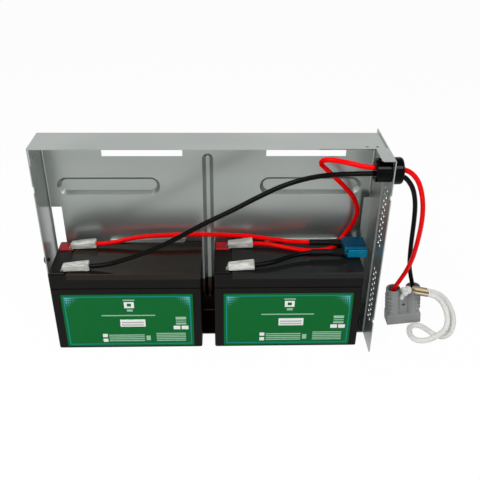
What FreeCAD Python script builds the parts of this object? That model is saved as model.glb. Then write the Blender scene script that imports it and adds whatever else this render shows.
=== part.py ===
"""UPS battery cartridge: a galvanised sheet tray that carries two sealed lead-acid batteries.

The batteries are wired in series through a blade fuse, and a pair of leads leaves through a
bushing in the end panel to a two-pole connector with a pull rope.
Millimetres. X runs along the tray, Y from its open front to its back panel, Z up.
Every piece is drawn from the tray's left, lower, rear corner and placed by one shared offset,
so that the origin lies under the middle of the tray with its end fittings.
"""
import FreeCAD, Part
import math
import os
import re
import Sketcher

sizes = {
    # tray
    "gauge": 1.0,
    "trayHeight": 218.0,
    "flangeDepth": 42.0,
    "bendRadius": 1.5,
    # openings of the back panel
    "slotStart": 60.0,
    "slotLength": 80.4,
    "slotWidth": 11.0,
    "slotBelowTop": 14.5,
    "sideSlotStart": 1.8,
    "sideSlotWidth": 11.1,
    "sideSlotFoot": 54.0,
    "sideSlotHeight": 82.2,
    # pressed recesses and rib of the back panel
    "pressDepth": 4.0,
    "pressSlope": 3.6,
    "recessStart": 11.6,
    "recessLength": 104.8,
    "recessFoot": 150.0,
    "recessWidth": 19.5,
    "ribSet": 2.0,
    "ribWidth": 11.0,
    "ribFoot": 20.5,
    "ribHeight": 175.1,
    # lanced tabs over the batteries' top edges
    "lanceReach": 6.0,
    "lanceWindow": 8.0,
    "lanceGap": 0.3,
    "lanceRound": 4.0,
    # small holes of the flanges
    "flangeHole": 1.5,
    "flangeHoleEnd": 18.0,
    "flangeHolePitch": 9.5,
    "flangeHoleFront": 4.9,
    "wallNotchFoot": 172.0,
    "wallNotchHeight": 7.0,
    "wallNotchDepth": 2.5,
    "wallSlotAbove": 12.2,
    "wallSlotFront": 1.5,
    "wallSlotLength": 11.7,
    "wallSlotHeight": 1.6,
    "cornerTabHeight": 16.0,
    "cornerTabDepth": 30.0,
    # corner bracket
    "bracketHeight": 151.0,
    "bracketBack": 8.0,
    "bracketLeg": 8.0,
    # end panel
    "panelFront": 75.0,
    "panelBack": 6.5,
    "panelRise": 1.5,
    "panelTabStart": 43.5,
    "panelTabEnd": 2.0,
    "panelTabLength": 12.5,
    "panelTabRound": 3.0,
    "panelNotchBelow": 39.5,
    "panelNotchLow": 37.6,
    "panelNotchHeight": 5.0,
    "panelNotchDepth": 4.0,
    "perforation": 2.1,
    "perforationPitch": 6.6,
    "perforationRows": 10,
    "perforationFront": 15.0,
    "perforationColumn": 7.0,
    "perforationBelow": 96.2,
    "perforationLow": 32.6,
    # cable bushing
    "bushingFront": 13.0,
    "bushingBelow": 14.5,
    "barrelRadius": 10.5,
    "barrelLength": 15.0,
    "headRadius": 12.6,
    "headRound": 2.2,
    "headLength": 9.5,
    "mouthRadius": 9.8,
    "mouthDepth": 7.0,
    "bushingEdge": 1.2,
    "bushingClearance": 0.1,
    "wirePitch": 5.6,
    "wireClearance": 0.2,
    # edge bumper
    "bumperHeight": 93.0,
    "bumperRadius": 4.8,
    "bumperProud": 3.0,
    "bumperFront": 3.0,
    "bumperStem": 1.4,
    # batteries
    "batteryStart": 7.0,
    "batteryLength": 151.0,
    "batteryGap": 13.5,
    "batteryEnd": 12.5,
    "batteryWidth": 65.0,
    "batteryHeight": 94.0,
    "batteryRear": 0.5,
    "batteryRound": 2.0,
    "lidHeight": 18.0,
    "lidGroove": 0.8,
    "lidGrooveHeight": 1.2,
    "shelfLength": 18.3,
    "shelfDepth": 1.2,
    "coverMargin": 4.0,
    "coverDepth": 1.0,
    "coverProud": 0.2,
    "skirtHeight": 6.6,
    "skirtThick": 0.8,
    "skirtProud": 0.4,
    # terminals
    "terminalStart": 13.4,
    "terminalWidth": 6.35,
    "terminalThick": 0.8,
    "terminalReach": 8.6,
    "terminalFoot": 1.5,
    "terminalLevel": 99.0,
    "positiveRear": 14.0,
    "negativeRear": 57.0,
    "insertStart": 1.1,
    "insertLength": 14.9,
    "insertWidth": 14.8,
    "insertRear": 3.0,
    "insertFront": 1.8,
    "insertHeight": 1.4,
    "insertBevel": 0.7,
    # receptacles and their sleeves
    "receptacleStart": 14.6,
    "receptacleLength": 8.0,
    "receptacleWidth": 7.4,
    "receptacleThick": 2.4,
    "receptacleBarrel": 2.5,
    "receptacleBarrelLength": 7.0,
    "sleeveStart": 14.2,
    "sleeveLength": 26.5,
    "sleeveWidth": 9.2,
    "sleeveThick": 7.0,
    "sleeveWall": 0.7,
    # labels
    "labelStart": 9.5,
    "labelEnd": 8.5,
    "labelHeight": 66.5,
    "labelFoot": 4.0,
    "labelThick": 0.3,
    "labelRound": 1.5,
    # wires
    "wireRadius": 2.4,
    "wayStep": 1.0,
    # fuse
    "fuseEnd": 29.0,
    "fuseLength": 23.0,
    "fuseRear": 13.0,
    "fuseWidth": 28.0,
    "fuseThick": 9.0,
    "fuseLift": 2.1,
    "fuseCorner": 3.5,
    "fuseGroove": 0.8,
    "bladeWidth": 8.0,
    "bladeThick": 0.8,
    "bladeReach": 9.0,
    "bladeSeat": 4.0,
    "bladeInset": 4.3,
    "crimpLength": 20.0,
    "crimpWidth": 9.0,
    "crimpThick": 3.2,
    "crimpBarrel": 3.2,
    "crimpBarrelLength": 8.0,
    "crimpGap": 0.6,
    "shrinkLength": 14.0,
    "shrinkWall": 0.8,
    # connector
    "connectorOut": 48.2,
    "connectorY": -22.0,
    "connectorLean": 6.5,
    "connectorWidth": 37.5,
    "connectorThick": 16.0,
    "connectorHeight": 45.0,
    "collarHeight": 13.0,
    "collarStep": 0.8,
    "poleOffset": 11.2,
    "poleRadius": 6.6,
    "poleBore": 5.6,
    "poleBoreDepth": 28.0,
    "railHeight": 27.0,
    "webThick": 7.0,
    "webHeight": 40.0,
    "webHole": 1.6,
    "gripRibs": 5,
    "gripPitch": 4.2,
    "gripProud": 0.8,
    "gripFoot": 17.5,
    "cavityWidth": 10.0,
    "cavityThick": 9.0,
    "cavityDepth": 11.0,
    "contactRadius": 4.0,
    "contactHeight": 12.0,
    # pull rope
    "ropeRadius": 3.0,
    "ferruleLength": 15.0,
    "ferruleHeight": 6.4,
    "ferruleOut": 17.6,
    "ferruleFront": 12.7,
    "ferruleZ": 48.4,
    "ferruleDrop": 12.0,
    "knotRing": 3.6,
    "knotSide": 1.2,
    "knotFront": 8.9,
    "knotHeight": 46.0,
}

# sizes that follow from the ones above
ties = {
    "trayLength": "batteryStart + 2 * batteryLength + batteryGap + batteryEnd",
    "batteryPitch": "batteryLength + batteryGap",
    "ribStart": "batteryStart + batteryLength + ribSet",
    "flangeHoleStart": "trayLength - flangeHoleEnd",
    "panelHeight": "trayHeight + panelRise",
    "panelNotchHigh": "panelHeight - panelNotchBelow",
    "perforationHigh": "panelHeight - perforationBelow",
    "bushingHeight": "panelHeight - bushingBelow",
    "labelLength": "batteryLength - labelStart - labelEnd",
    "fuseStart": "trayLength - fuseEnd",
    "connectorX": "trayLength + connectorOut",
    "ferruleX": "connectorX + ferruleOut",
    "ferruleY": "connectorY - ferruleFront",
}

doc = FreeCAD.newDocument("BatteryCartridge")
sheet = doc.addObject("Spreadsheet::Sheet", "Sizes")
rows = list(sizes.items()) + list(ties.items())
for row, (alias, value) in enumerate(rows, 1):
    sheet.set(f"A{row}", alias)
    sheet.setAlias(f"B{row}", alias)
for row, (alias, value) in enumerate(rows, 1):
    sheet.set(f"B{row}", f"={value}" if alias in ties else str(value))
doc.recompute()

origin_x = "(bumperProud - trayLength - gauge - headLength) / 2"
origin_y = "(panelFront - panelBack) / 2"
pieces = []


def on_tray(x, y, z):
    """A point given from the tray's corner, in the part's own frame."""
    return FreeCAD.Vector(x + value_of(origin_x), y + value_of(origin_y), z)


def lean():
    """How far the connector's top leans to the left, in degrees."""
    return value_of("connectorLean")


def connector_point(x, y, z):
    """A point of the connector, from the middle of its mating face, seen from the tray."""
    angle = math.radians(lean())
    lift = value_of("connectorWidth") / 2 * math.sin(angle) + 0.1
    return (value_of("connectorX") + x * math.cos(angle) - z * math.sin(angle),
            value_of("connectorY") + y,
            lift + x * math.sin(angle) + z * math.cos(angle))


def formula(text):
    """A formula over the sheet's words, written as the document's expressions need it."""
    return re.sub(r"\b([a-z]\w*)", r"Sizes.\1", str(text))


def value_of(text):
    """The present value of a formula."""
    return float(sheet.evalExpression(formula(text)))


def bind(item, prop, text):
    """Tie a property to a formula over the sheet."""
    item.setExpression(prop, formula(text))


def place(item, x="0", y="0", z="0"):
    """Move a piece by x, y, z from the tray's corner, and by the offset that all share."""
    bind(item, "Placement.Base.x", f"{origin_x} + {x}")
    bind(item, "Placement.Base.y", f"{origin_y} + {y}")
    bind(item, "Placement.Base.z", z)


def new_body(label, x="0", y="0", z="0"):
    body = doc.addObject("PartDesign::Body", label)
    body.Label = label
    place(body, x, y, z)
    pieces.append(body)
    return body


def sketch_on(body, role, level="0"):
    """A sketch on one of the body's own planes, at a level along that plane's normal."""
    sketch = body.newObject("Sketcher::SketchObject", "Profile")
    plane = [f for f in body.Origin.OriginFeatures if f.Role == role][0]
    sketch.AttachmentSupport = [(plane, "")]
    sketch.MapMode = "FlatFace"
    bind(sketch, "AttachmentOffset.Base.z", level)
    return sketch


def fix(sketch, kind, refs, text):
    """A dimension of a sketch that follows a formula."""
    index = sketch.addConstraint(Sketcher.Constraint(kind, *refs, value_of(text)))
    bind(sketch, f"Constraints[{index}]", text)


def polygon(sketch, corners):
    """A closed outline whose corners are formulas."""
    points = [FreeCAD.Vector(value_of(a), value_of(b), 0) for a, b in corners]
    count = len(points)
    first = sketch.GeometryCount
    for i in range(count):
        sketch.addGeometry(Part.LineSegment(points[i], points[(i + 1) % count]), False)
    for i in range(count):
        here = first + i
        after = first + (i + 1) % count
        sketch.addConstraint(Sketcher.Constraint("Coincident", here, 2, after, 1))
        fix(sketch, "DistanceX", (-1, 1, here, 1), corners[i][0])
        fix(sketch, "DistanceY", (-1, 1, here, 1), corners[i][1])
    return sketch


def rectangle(sketch, x0, y0, x1, y1):
    return polygon(sketch, [(x0, y0), (x1, y0), (x1, y1), (x0, y1)])


def circle(sketch, x, y, radius):
    middle = FreeCAD.Vector(value_of(x), value_of(y), 0)
    round_edge = Part.Circle(middle, FreeCAD.Vector(0, 0, 1), value_of(radius))
    index = sketch.addGeometry(round_edge, False)
    fix(sketch, "DistanceX", (-1, 1, index, 3), x)
    fix(sketch, "DistanceY", (-1, 1, index, 3), y)
    fix(sketch, "Radius", (index,), radius)
    return sketch


def slot(sketch, x0, y0, x1, y1, radius):
    """A slot with round ends, between two centres in line along the sketch's X or Y."""
    a = FreeCAD.Vector(value_of(x0), value_of(y0), 0)
    b = FreeCAD.Vector(value_of(x1), value_of(y1), 0)
    r = value_of(radius)
    up = FreeCAD.Vector(0, 0, 1)
    lean = math.atan2(b.y - a.y, b.x - a.x)
    side = FreeCAD.Vector(-math.sin(lean), math.cos(lean), 0) * r
    half = math.pi / 2
    start = Part.ArcOfCircle(Part.Circle(a, up, r), lean + half, lean + 3 * half)
    end = Part.ArcOfCircle(Part.Circle(b, up, r), lean - half, lean + half)
    one = sketch.addGeometry(start, False)
    two = sketch.addGeometry(end, False)
    low = sketch.addGeometry(Part.LineSegment(a - side, b - side), False)
    top = sketch.addGeometry(Part.LineSegment(b + side, a + side), False)
    for pair in ((one, 2, low, 1), (low, 2, two, 1), (two, 2, top, 1), (top, 2, one, 1)):
        sketch.addConstraint(Sketcher.Constraint("Tangent", *pair))
    sketch.addConstraint(Sketcher.Constraint("Equal", one, two))
    fix(sketch, "DistanceX", (-1, 1, one, 3), x0)
    fix(sketch, "DistanceY", (-1, 1, one, 3), y0)
    fix(sketch, "DistanceX", (-1, 1, two, 3), x1)
    fix(sketch, "DistanceY", (-1, 1, two, 3), y1)
    fix(sketch, "Radius", (one,), radius)
    return sketch


def extrude(body, kind, sketch, length, backwards=False):
    feature = body.newObject("PartDesign::" + kind, kind)
    feature.Profile = sketch
    feature.Type = "Length"
    bind(feature, "Length", length)
    feature.Reversed = backwards
    doc.recompute()
    return feature


def pad(body, sketch, length, backwards=False):
    return extrude(body, "Pad", sketch, length, backwards)


def pocket(body, sketch, depth, backwards=False):
    """A cut that must take material away, whichever way its sketch faces."""
    before = body.Shape.Volume
    feature = extrude(body, "Pocket", sketch, depth, backwards)
    if body.Shape.Volume > before - 0.001:
        raise RuntimeError(f"{body.Label}: a pocket cuts nothing")
    return feature


def round_edges(body, radius, wanted, kind="Fillet", prop="Radius"):
    """Round or bevel the edges of the body whose middle points are wanted."""
    base = body.Tip
    names = []
    for index, edge in enumerate(base.Shape.Edges, 1):
        middle = edge.valueAt((edge.FirstParameter + edge.LastParameter) / 2)
        if wanted(middle, edge):
            names.append(f"Edge{index}")
    feature = body.newObject("PartDesign::" + kind, kind)
    feature.Base = (base, names)
    bind(feature, prop, radius)
    doc.recompute()
    return feature


def repeat(body, feature, sketch, pitch, count):
    """Copies of a feature in a row up its sketch."""
    rows = body.newObject("PartDesign::LinearPattern", "LinearPattern")
    rows.Originals = [feature]
    rows.Direction = (sketch, ["V_Axis"])
    rows.Mode = "Spacing"
    bind(rows, "Offset", pitch)
    bind(rows, "Occurrences", count)
    body.Tip = rows
    doc.recompute()
    return rows


def along(edge, axis):
    """True for a straight edge that runs along an axis, 0 to 2."""
    ends = [corner.Point for corner in edge.Vertexes]
    if len(ends) < 2:
        return False
    return near(abs((ends[1] - ends[0])[axis]), edge.Length)


def near(a, b):
    return abs(a - b) < 0.01


def pressed(body, ends, radius, sharper):
    """A recess pressed out of the back panel: its swell behind first, then its hollow."""
    (x0, z0), (x1, z1) = ends
    levels = (("-gauge", "-gauge - pressDepth", "AdditiveLoft"),
              ("0", "-pressDepth", "SubtractiveLoft"))
    for wide_level, deep_level, kind in levels:
        wide = slot(sketch_on(body, "XZ_Plane", wide_level), x0, z0, x1, z1, radius)
        deep = slot(sketch_on(body, "XZ_Plane", deep_level), x0, z0, x1, z1, sharper)
        loft = body.newObject("PartDesign::" + kind, kind)
        loft.Profile = wide
        loft.Sections = [deep]
        loft.Ruled = True
        doc.recompute()


def lanced_tab(body, start):
    """A tab lanced out of the back panel, which holds the top rear edge of a battery."""
    level = "gauge + batteryHeight + coverProud + lanceGap"
    end = f"{start} + slotLength"
    tab = rectangle(sketch_on(body, "XY_Plane", level), start, "-lanceReach", end, "0")
    pad(body, tab, "gauge")
    tip = -value_of("lanceReach")
    round_edges(body, "lanceRound", lambda m, e: near(m.y, tip) and along(e, 2))
    top = value_of(f"{level} + gauge")
    first, last = value_of(start), value_of(end)
    round_edges(body, "gauge", lambda m, e: (near(m.z, top) and near(m.y, 0) and along(e, 0)
                                             and first < m.x < last))
    window = sketch_on(body, "XZ_Plane")
    rectangle(window, f"{start} + 0.5 * gauge", f"{level} - lanceWindow",
              f"{end} - 0.5 * gauge", level)
    pocket(body, window, "gauge")


def make_tray():
    body = new_body("tray")
    face = rectangle(sketch_on(body, "XZ_Plane", "-gauge"), "0", "0", "trayLength", "trayHeight")
    pad(body, face, "flangeDepth + gauge")
    back = value_of("gauge")
    round_edges(body, "bendRadius + gauge", lambda m, e: near(m.y, back))
    inside = rectangle(sketch_on(body, "XZ_Plane", "flangeDepth"), "gauge", "gauge",
                       "trayLength - gauge", "trayHeight - gauge")
    pocket(body, inside, "flangeDepth")
    round_edges(body, "bendRadius", lambda m, e: near(m.y, 0))
    # upper slots and the tall side slot
    slots = sketch_on(body, "XZ_Plane")
    level = "trayHeight - slotBelowTop - slotWidth / 2"
    for start in ("slotStart", "slotStart + batteryPitch"):
        rectangle(slots, start, f"{level} - slotWidth / 2", f"{start} + slotLength",
                  f"{level} + slotWidth / 2")
    rectangle(slots, "sideSlotStart", "sideSlotFoot", "sideSlotStart + sideSlotWidth",
              "sideSlotFoot + sideSlotHeight")
    pocket(body, slots, "gauge")
    # pressed recesses, one over each battery, and the rib between them
    middle = "recessFoot + recessWidth / 2"
    near_end = "recessStart + recessWidth / 2"
    far_end = "recessStart + recessLength - recessWidth / 2"
    radius = "recessWidth / 2"
    pressed(body, ((near_end, middle), (far_end, middle)), radius, f"{radius} - pressSlope")
    mirrored = (f"trayLength - ({far_end})", f"trayLength - ({near_end})")
    pressed(body, ((mirrored[0], middle), (mirrored[1], middle)), radius,
            f"{radius} - pressSlope")
    rib = "ribStart + ribWidth / 2"
    pressed(body, ((rib, "ribFoot + ribWidth / 2"), (rib, "ribFoot + ribHeight - ribWidth / 2")),
            "ribWidth / 2", "ribWidth / 2 - pressSlope")
    lanced_tab(body, "slotStart")
    lanced_tab(body, "slotStart + batteryPitch")
    # two small holes near the front edge of the top flange
    holes = sketch_on(body, "XY_Plane", "trayHeight")
    for x in ("flangeHoleStart", "flangeHoleStart + flangeHolePitch"):
        circle(holes, x, "flangeHoleFront - flangeDepth", "flangeHole")
    pocket(body, holes, "gauge")
    # left wall: edge notch, tag slot and the hole of the edge bumper
    wall = sketch_on(body, "YZ_Plane")
    rectangle(wall, "-flangeDepth - gauge", "wallNotchFoot", "wallNotchDepth - flangeDepth",
              "wallNotchFoot + wallNotchHeight")
    rectangle(wall, "wallSlotFront - flangeDepth", "trayHeight - wallSlotAbove - wallSlotHeight",
              "wallSlotFront + wallSlotLength - flangeDepth", "trayHeight - wallSlotAbove")
    circle(wall, "bumperFront + bumperRadius - flangeDepth", "bumperHeight",
           "bumperStem + bushingClearance")
    pocket(body, wall, "gauge", True)
    # tab of the top flange, folded down inside the left wall
    tab = rectangle(sketch_on(body, "YZ_Plane", "gauge"), "-flangeDepth",
                    "trayHeight - gauge - cornerTabHeight", "cornerTabDepth - flangeDepth",
                    "trayHeight - gauge")
    pad(body, tab, "gauge")
    relief = rectangle(sketch_on(body, "YZ_Plane", "2 * gauge"), "wallSlotFront - flangeDepth",
                       "trayHeight - wallSlotAbove - wallSlotHeight",
                       "wallSlotFront + wallSlotLength - flangeDepth",
                       "trayHeight - wallSlotAbove")
    pocket(body, relief, "gauge")


def make_corner_bracket():
    """An angle in the right-hand corner of the tray that stops the battery."""
    body = new_body("corner_bracket")
    leg = "trayLength - gauge - bracketLeg"
    wall = "trayLength - gauge"
    outline = [(leg, "-bracketBack - gauge"), (wall, "-bracketBack - gauge"),
               (wall, "-bendRadius"), (f"{wall} - gauge", "-bendRadius"),
               (f"{wall} - gauge", "-bracketBack"), (leg, "-bracketBack")]
    pad(body, polygon(sketch_on(body, "XY_Plane", "gauge"), outline), "bracketHeight - gauge")


def make_end_panel():
    """The perforated end panel, with a tab over the bushing."""
    body = new_body("end_panel")
    front = "-panelFront"
    outline = [("panelBack", "0"), (front, "0"),
               (front, "panelNotchLow"), (f"{front} + panelNotchDepth", "panelNotchLow"),
               (f"{front} + panelNotchDepth", "panelNotchLow + panelNotchHeight"),
               (front, "panelNotchLow + panelNotchHeight"),
               (front, "panelNotchHigh"), (f"{front} + panelNotchDepth", "panelNotchHigh"),
               (f"{front} + panelNotchDepth", "panelNotchHigh + panelNotchHeight"),
               (front, "panelNotchHigh + panelNotchHeight"),
               (front, "panelHeight"), ("panelBack", "panelHeight")]
    pad(body, polygon(sketch_on(body, "YZ_Plane", "trayLength"), outline), "gauge")
    over = [("trayLength + gauge - panelTabLength", "-panelTabStart"),
            ("trayLength + gauge", "-panelTabStart"),
            ("trayLength + gauge", "panelTabEnd - panelFront"),
            ("trayLength + gauge - panelTabLength", "panelTabEnd - panelFront")]
    pad(body, polygon(sketch_on(body, "XY_Plane", "panelHeight - gauge"), over), "gauge")
    inner = value_of("trayLength + gauge - panelTabLength")
    round_edges(body, "panelTabRound",
                lambda m, e: along(e, 2) and near(m.x, inner))
    hole = sketch_on(body, "YZ_Plane", "trayLength")
    circle(hole, "bushingFront - panelFront", "bushingHeight", "barrelRadius + bushingClearance")
    pocket(body, hole, "gauge", True)
    for foot in ("perforationLow", "perforationHigh"):
        pair = sketch_on(body, "YZ_Plane", "trayLength")
        for column in ("0", "perforationColumn"):
            circle(pair, f"perforationFront + {column} - panelFront", foot, "perforation")
        holes = pocket(body, pair, "gauge", True)
        repeat(body, holes, pair, "perforationPitch", "perforationRows")


def make_edge_bumper():
    """A rubber button snapped into the left wall near its front edge."""
    body = new_body("edge_bumper", "0", "bumperFront + bumperRadius - flangeDepth",
                    "bumperHeight")
    outline = [("0", "0"), ("0", "-bumperProud"), ("0.6 * bumperRadius", "-bumperProud"),
               ("0.93 * bumperRadius", "-0.6 * bumperProud"), ("bumperRadius", "0"),
               ("bumperStem", "0"), ("bumperStem", "gauge"), ("1.6 * bumperStem", "gauge"),
               ("0.8 * bumperStem", "gauge + 1.2 * bumperStem"),
               ("0", "gauge + 1.2 * bumperStem")]
    profile = sketch_on(body, "XZ_Plane")
    polygon(profile, [(b, a) for a, b in outline])
    turn = body.newObject("PartDesign::Revolution", "Revolution")
    turn.Profile = profile
    turn.ReferenceAxis = (profile, ["H_Axis"])
    turn.Angle = 360
    doc.recompute()


def make_bushing():
    """The snap bushing: a barrel behind the panel, a cup-shaped head outside it."""
    body = new_body("cable_bushing", "trayLength", "bushingFront - panelFront", "bushingHeight")
    outline = [("-barrelLength", "0"), ("-barrelLength", "barrelRadius - bushingEdge"),
               ("bushingEdge - barrelLength", "barrelRadius"), ("gauge", "barrelRadius"),
               ("gauge", "headRadius"), ("gauge + headLength - headRound", "headRadius"),
               ("gauge + headLength - 0.3 * headRound", "headRadius - 0.3 * headRound"),
               ("gauge + headLength", "headRadius - headRound"),
               ("gauge + headLength", "mouthRadius"),
               ("gauge + headLength - mouthDepth", "mouthRadius - bushingEdge"),
               ("gauge + headLength - mouthDepth", "0")]
    profile = polygon(sketch_on(body, "XZ_Plane"), outline)
    turn = body.newObject("PartDesign::Revolution", "Revolution")
    turn.Profile = profile
    turn.ReferenceAxis = (profile, ["H_Axis"])
    turn.Angle = 360
    doc.recompute()
    bores = sketch_on(body, "YZ_Plane", "-barrelLength")
    for level in ("wirePitch / 2", "-wirePitch / 2"):
        circle(bores, "0", level, "wireRadius + wireClearance")
    pocket(body, bores, "barrelLength + headLength", True)
    # flats and the two snap ears of the barrel
    ears = sketch_on(body, "XY_Plane", "barrelRadius - bushingEdge")
    polygon(ears, [("-barrelLength", "-bushingEdge * 2"), ("-barrelLength", "bushingEdge * 2"),
                   ("-0.55 * barrelLength", "bushingEdge * 2"),
                   ("-0.55 * barrelLength", "-bushingEdge * 2")])
    pad(body, ears, "2 * bushingEdge")


def make_battery(side, shift):
    """One sealed battery: case, welded lid with a terminal shelf, and vent cover."""
    x = f"batteryStart{shift}"
    y = "-batteryRear - batteryWidth"
    case = new_body(f"battery_case_{side}", x, y, "gauge")
    pad(case, rectangle(sketch_on(case, "XY_Plane"), "0", "0", "batteryLength", "batteryWidth"),
        "batteryHeight - lidHeight")
    top = value_of("batteryHeight - lidHeight")
    round_edges(case, "batteryRound", lambda m, e: m.z < top - 0.01)
    lid = new_body(f"battery_lid_{side}", x, y, "gauge + batteryHeight - lidHeight")
    pad(lid, rectangle(sketch_on(lid, "XY_Plane"), "0", "0", "batteryLength", "batteryWidth"),
        "lidHeight")
    round_edges(lid, "batteryRound", lambda m, e: along(e, 2))
    height = value_of("lidHeight")
    round_edges(lid, "batteryRound / 2", lambda m, e: near(m.z, height))
    rim = sketch_on(lid, "XY_Plane", "lidGrooveHeight")
    rectangle(rim, "-1", "-1", "batteryLength + 1", "batteryWidth + 1")
    polygon(rim, [("lidGroove + batteryRound", "lidGroove"),
                  ("batteryLength - lidGroove - batteryRound", "lidGroove"),
                  ("batteryLength - lidGroove", "lidGroove + batteryRound"),
                  ("batteryLength - lidGroove", "batteryWidth - lidGroove - batteryRound"),
                  ("batteryLength - lidGroove - batteryRound", "batteryWidth - lidGroove"),
                  ("lidGroove + batteryRound", "batteryWidth - lidGroove"),
                  ("lidGroove", "batteryWidth - lidGroove - batteryRound"),
                  ("lidGroove", "lidGroove + batteryRound")])
    pocket(lid, rim, "lidGrooveHeight")
    shelf = sketch_on(lid, "XY_Plane", "lidHeight")
    rectangle(shelf, "-1", "-1", "shelfLength", "batteryWidth + 1")
    pocket(lid, shelf, "shelfDepth")
    seat = sketch_on(lid, "XY_Plane", "lidHeight")
    rectangle(seat, "shelfLength", "-1", "batteryLength + 1", "batteryWidth - coverMargin")
    pocket(lid, seat, "coverDepth")
    front = sketch_on(lid, "XZ_Plane")
    rectangle(front, "shelfLength", "lidHeight - skirtHeight", "batteryLength + 1",
              "lidHeight + 1")
    pocket(lid, front, "skirtThick")
    cover = new_body(f"vent_cover_{side}", x, y, "gauge + batteryHeight - coverDepth")
    plate = sketch_on(cover, "XY_Plane")
    rectangle(plate, "shelfLength", "-skirtProud", "batteryLength",
              "batteryWidth - coverMargin")
    pad(cover, plate, "coverDepth + coverProud")
    skirt = sketch_on(cover, "XZ_Plane", "skirtProud")
    rectangle(skirt, "shelfLength", "coverDepth - skirtHeight", "batteryLength",
              "coverDepth")
    pad(cover, skirt, "skirtThick + skirtProud", True)
    proud = -value_of("skirtProud")
    ridge = value_of("coverDepth + coverProud")
    round_edges(cover, "2 * skirtProud",
                lambda m, e: near(m.y, proud) and near(m.z, ridge) and along(e, 0))
    label = new_body(f"label_{side}", f"{x} + labelStart", y, "labelFoot")
    sheet_face = sketch_on(label, "XZ_Plane")
    rectangle(sheet_face, "0", "0", "labelLength", "labelHeight")
    pad(label, sheet_face, "labelThick")
    round_edges(label, "labelRound", lambda m, e: along(e, 1))


def make_terminal(side, pole, shift):
    """A blade terminal with its coloured seat, the receptacle pushed on it and its sleeve."""
    rear = f"{pole}Rear"
    x = f"batteryStart{shift}"
    floor = "gauge + batteryHeight - shelfDepth"
    rear_edge = (f"-batteryRear - insertRear" if pole == "positive" else
                 f"-batteryRear - batteryWidth + insertFront + insertWidth")
    seat = new_body(f"terminal_seat_{pole}_{side}", f"{x} + insertStart",
                    f"{rear_edge} - insertWidth", floor)
    pad(seat, rectangle(sketch_on(seat, "XY_Plane"), "0", "0", "insertLength", "insertWidth"),
        "insertHeight")
    crown = value_of("insertHeight")
    round_edges(seat, "insertBevel", lambda m, e: near(m.z, crown), "Chamfer", "Size")
    blade = new_body(f"terminal_{pole}_{side}", f"{x} + terminalStart",
                     f"-{rear} + terminalWidth / 2", f"{floor} + insertHeight")
    rise = f"terminalLevel - ({floor} + insertHeight)"
    outline = [("-terminalFoot", "0"), ("terminalThick", "0"),
               ("terminalThick", f"{rise} - terminalThick / 2"),
               ("terminalReach", f"{rise} - terminalThick / 2"),
               ("terminalReach", f"{rise} + terminalThick / 2"),
               ("0", f"{rise} + terminalThick / 2"), ("0", "terminalThick"),
               ("-terminalFoot", "terminalThick")]
    pad(blade, polygon(sketch_on(blade, "XZ_Plane"), outline), "terminalWidth")
    grip = new_body(f"receptacle_{pole}_{side}", f"{x} + receptacleStart", f"-{rear}",
                    "terminalLevel")
    half = "receptacleWidth / 2"
    rectangle_at = rectangle(sketch_on(grip, "YZ_Plane"), f"-{half}", "-receptacleThick / 2",
                             half, "receptacleThick / 2")
    pad(grip, rectangle_at, "receptacleLength")
    barrel = circle(sketch_on(grip, "YZ_Plane", "receptacleLength"), "0", "0",
                    "receptacleBarrel")
    pad(grip, barrel, "receptacleBarrelLength")
    gap = "terminalThick / 2 + wireClearance / 4"
    mouth = rectangle(sketch_on(grip, "YZ_Plane"), "-terminalWidth / 2 - wireClearance / 2",
                      f"-({gap})", "terminalWidth / 2 + wireClearance / 2", gap)
    pocket(grip, mouth, "terminalReach - receptacleStart + terminalStart + 0.5", True)
    sleeve = new_body(f"sleeve_{pole}_{side}", f"{x} + sleeveStart", f"-{rear}",
                      "terminalLevel")
    outer = rectangle(sketch_on(sleeve, "YZ_Plane"), "-sleeveWidth / 2", "-sleeveThick / 2",
                      "sleeveWidth / 2", "sleeveThick / 2")
    pad(sleeve, outer, "sleeveLength")
    round_edges(sleeve, "sleeveThick / 4", lambda m, e: along(e, 0))
    hollow = rectangle(sketch_on(sleeve, "YZ_Plane"), "sleeveWall - sleeveWidth / 2",
                       "-receptacleBarrel - wireClearance", "sleeveWidth / 2 - sleeveWall",
                       "receptacleBarrel + wireClearance")
    pocket(sleeve, hollow, "receptacleLength + receptacleBarrelLength + 1", True)
    way = circle(sketch_on(sleeve, "YZ_Plane"), "0", "0", "wireRadius + wireClearance")
    pocket(sleeve, way, "sleeveLength", True)


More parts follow.
